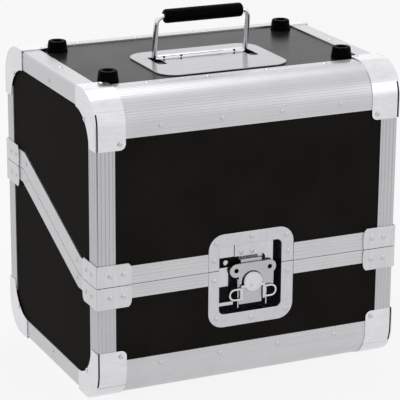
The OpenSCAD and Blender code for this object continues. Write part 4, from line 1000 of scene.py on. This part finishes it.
pad_y = HD - RD - 1
pad_cut = ROUND - RD
pad_low, pad_high = ZL + RD + 1, ZT - RD - 1
base_side = [(-pad_y, pad_low + pad_cut), (-pad_y + pad_cut, pad_low), (pad_y - pad_cut, pad_low),
             (pad_y, pad_low + pad_cut)] + seam_points(-PAD_DOWN)[::-1]
lid_side = seam_points(PAD_UP) + [(pad_y, pad_high - pad_cut), (pad_y - pad_cut, pad_high),
                                  (-pad_y + pad_cut, pad_high), (-pad_y, pad_high - pad_cut)]
pad_x = IX - 11
pad_l, pad_r = OX - OW - 1.7, OX + OW + 1.7     # clear of the latch recess
wall_low = ZL + REACH + 1
front_top, back_top = ZF - PAD_DOWN, ZB - PAD_DOWN
front_in = -IY + WALL_PAD
soft("base_left_pad", side_pad(base_side), "base", ["base_wall_pads"])
soft("base_right_pad", mirrored(side_pad(base_side), -1), "base", ())
soft("base_back_pad", block((-pad_x, IY - WALL_PAD, wall_low), (pad_x, IY, back_top)), "base", ())
soft("base_front_pad_left", block((-pad_x, -IY, wall_low), (pad_l, front_in, front_top)), "base", ())
soft("base_front_pad_right", block((pad_r, -IY, wall_low), (pad_x, front_in, front_top)), "base", ())
soft("base_front_pad_low", block((pad_l + 0.4, -IY, wall_low), (pad_r - 0.4, front_in, ZF - OD - 1.8)),
     "base", ())
soft("lid_left_pad", side_pad(lid_side), "lid", ["lid_side_pads"])
soft("lid_right_pad", mirrored(side_pad(lid_side), -1), "lid", ())
flat_y = HD - OVER - 1
floor_top, top_under = ZL + TRIM + PANEL, ZT - TRIM - PANEL
soft("base_floor_pad_look", block((-pad_x, -flat_y, floor_top), (pad_x, flat_y, floor_top + SIDE_PAD)),
     "base", ["base_floor_pad"])
soft("lid_top_pad_look", block((-pad_x, -flat_y, top_under - SIDE_PAD), (pad_x, flat_y, top_under)),
     "lid", ["lid_top_pad"])


# ---- stage, in metres ----

def stage_plane(name, corners, loc, turn_z, mat):
    """A flat piece of the studio from its four corners."""
    me = bpy.data.meshes.new(name)
    me.from_pydata(corners, [], [(0, 1, 2, 3)])
    ob = bpy.data.objects.new(name, me)
    bpy.context.scene.collection.objects.link(ob)
    ob.location = loc
    ob.rotation_euler = (0, 0, turn_z)
    me.materials.append(mat)
    return ob


def seen_directly(nt):
    """1 for camera, glossy and transmission rays, so that metal shows the background too."""
    light_path = nt.nodes.new("ShaderNodeLightPath")
    seen = light_path.outputs["Is Camera Ray"]
    for ray in ("Is Glossy Ray", "Is Transmission Ray"):
        either = nt.nodes.new("ShaderNodeMath")
        either.operation = "MAXIMUM"
        nt.links.new(seen, either.inputs[0])
        nt.links.new(light_path.outputs[ray], either.inputs[1])
        seen = either.outputs["Value"]
    return seen


WHITE_SHARE = 0.86  # the rest of the floor is lit, so it keeps the case's shadow
floor_mat, nt, bsdf = new_material("floor_white")
speck = noise(nt, coords(nt, (1, 1, 1)), 3.0)
nt.links.new(ramp(nt, speck, [(0.3, (0.80,) * 3), (0.7, (0.82,) * 3)]), bsdf.inputs["Base Color"])
bsdf.inputs["Roughness"].default_value = 0.9
glow = nt.nodes.new("ShaderNodeEmission")
glow.inputs["Strength"].default_value = 1.0
mixer = nt.nodes.new("ShaderNodeMixShader")
share = nt.nodes.new("ShaderNodeMath")
share.operation = "MULTIPLY"
nt.links.new(seen_directly(nt), share.inputs[0])
share.inputs[1].default_value = WHITE_SHARE
nt.links.new(share.outputs["Value"], mixer.inputs["Fac"])
nt.links.new(bsdf.outputs["BSDF"], mixer.inputs[1])
nt.links.new(glow.outputs["Emission"], mixer.inputs[2])
nt.links.new(mixer.outputs["Shader"], nt.nodes["Material Output"].inputs["Surface"])
floor_half = 4.5
floor_corners = [(x * floor_half, y * floor_half, 0) for x, y in ((-1, -1), (1, -1), (1, 1), (-1, 1))]
stage_plane("floor", floor_corners, (0, 0, -0.0002), 0, floor_mat)

world = bpy.data.worlds.new("studio")
bpy.context.scene.world = world
world.use_nodes = True
wt = world.node_tree
bg = wt.nodes["Background"]
wm = wt.nodes.new("ShaderNodeMix")
wm.data_type = "RGBA"
wt.links.new(seen_directly(wt), wm.inputs["Factor"])
wm.inputs["A"].default_value = (0.5, 0.5, 0.51, 1)
wm.inputs["B"].default_value = (1, 1, 1, 1)
wt.links.new(wm.outputs["Result"], bg.inputs["Color"])
bg.inputs["Strength"].default_value = 1.0


def softbox(name, loc, aim, size, power):
    """A rectangular lamp aimed at a point, its power in watts."""
    lamp = bpy.data.lights.new(name, "AREA")
    lamp.shape = "RECTANGLE"
    lamp.size, lamp.size_y = size
    lamp.energy = power
    ob = bpy.data.objects.new(name, lamp)
    bpy.context.scene.collection.objects.link(ob)
    ob.location = loc
    ob.rotation_euler = (Vector(aim) - Vector(loc)).to_track_quat("-Z", "Y").to_euler()


softbox("overhead", (-0.1, 0.5, 1.9), (0, 0, 0.3), (1.7, 1.4), 10)
softbox("front_right", (1.6, -1.8, 1.0), (0, 0, 0.2), (0.9, 1.2), 3)
softbox("behind", (0.9, 2.1, 1.0), (0, 0, 0.36), (1.6, 0.8), 0.9)


def dark_card(name, azimuth, distance, width, height, low):
    """A dark card that only reflections show, at an azimuth from the front towards the left."""
    mat, card_nt, card_bsdf = new_material(name)
    grain = noise(card_nt, coords(card_nt, (1, 1, 1)), 6.0)
    card_nt.links.new(ramp(card_nt, grain, [(0.3, (0.004,) * 3), (0.7, (0.006,) * 3)]),
                      card_bsdf.inputs["Base Color"])
    card_bsdf.inputs["Specular IOR Level"].default_value = 0.0
    a = math.radians(azimuth)
    loc = (-distance * math.sin(a), -distance * math.cos(a), low + height / 2)
    w, h = width / 2, height / 2
    ob = stage_plane(name, [(-w, 0, -h), (w, 0, -h), (w, 0, h), (-w, 0, h)], loc, -a, mat)
    ob.visible_camera = False
    ob.visible_diffuse = False
    ob.visible_shadow = False


dark_card("card_left", 50, 0.8, 0.5, 0.3, 0.002)


# ---- camera at the photograph's angle ----

FOCAL_PX = 2032.2       # focal length in pixels of a picture 400 pixels wide
AZIMUTH, ELEVATION, ROLL = map(math.radians, (-24.795, 17.582, 0.404))
CAMERA_AT = Vector((-0.9821, -2.1325, 0.9252))
camera = bpy.data.cameras.new("photo")
camera.sensor_width = 36.0
camera.lens = FOCAL_PX * camera.sensor_width / 400.0
camera.clip_end = 50.0
camera_ob = bpy.data.objects.new("photo", camera)
bpy.context.scene.collection.objects.link(camera_ob)
back = Vector((math.sin(AZIMUTH) * math.cos(ELEVATION), -math.cos(AZIMUTH) * math.cos(ELEVATION),
               math.sin(ELEVATION)))
level = Vector((math.cos(AZIMUTH), math.sin(AZIMUTH), 0))
upright = back.cross(level)
right = math.cos(ROLL) * level + math.sin(ROLL) * upright
up = -math.sin(ROLL) * level + math.cos(ROLL) * upright
pose = Matrix((right, up, back)).transposed().to_4x4()
pose.translation = CAMERA_AT
camera_ob.matrix_world = pose
bpy.context.scene.camera = camera_ob
bpy.context.scene.view_settings.view_transform = "Standard"
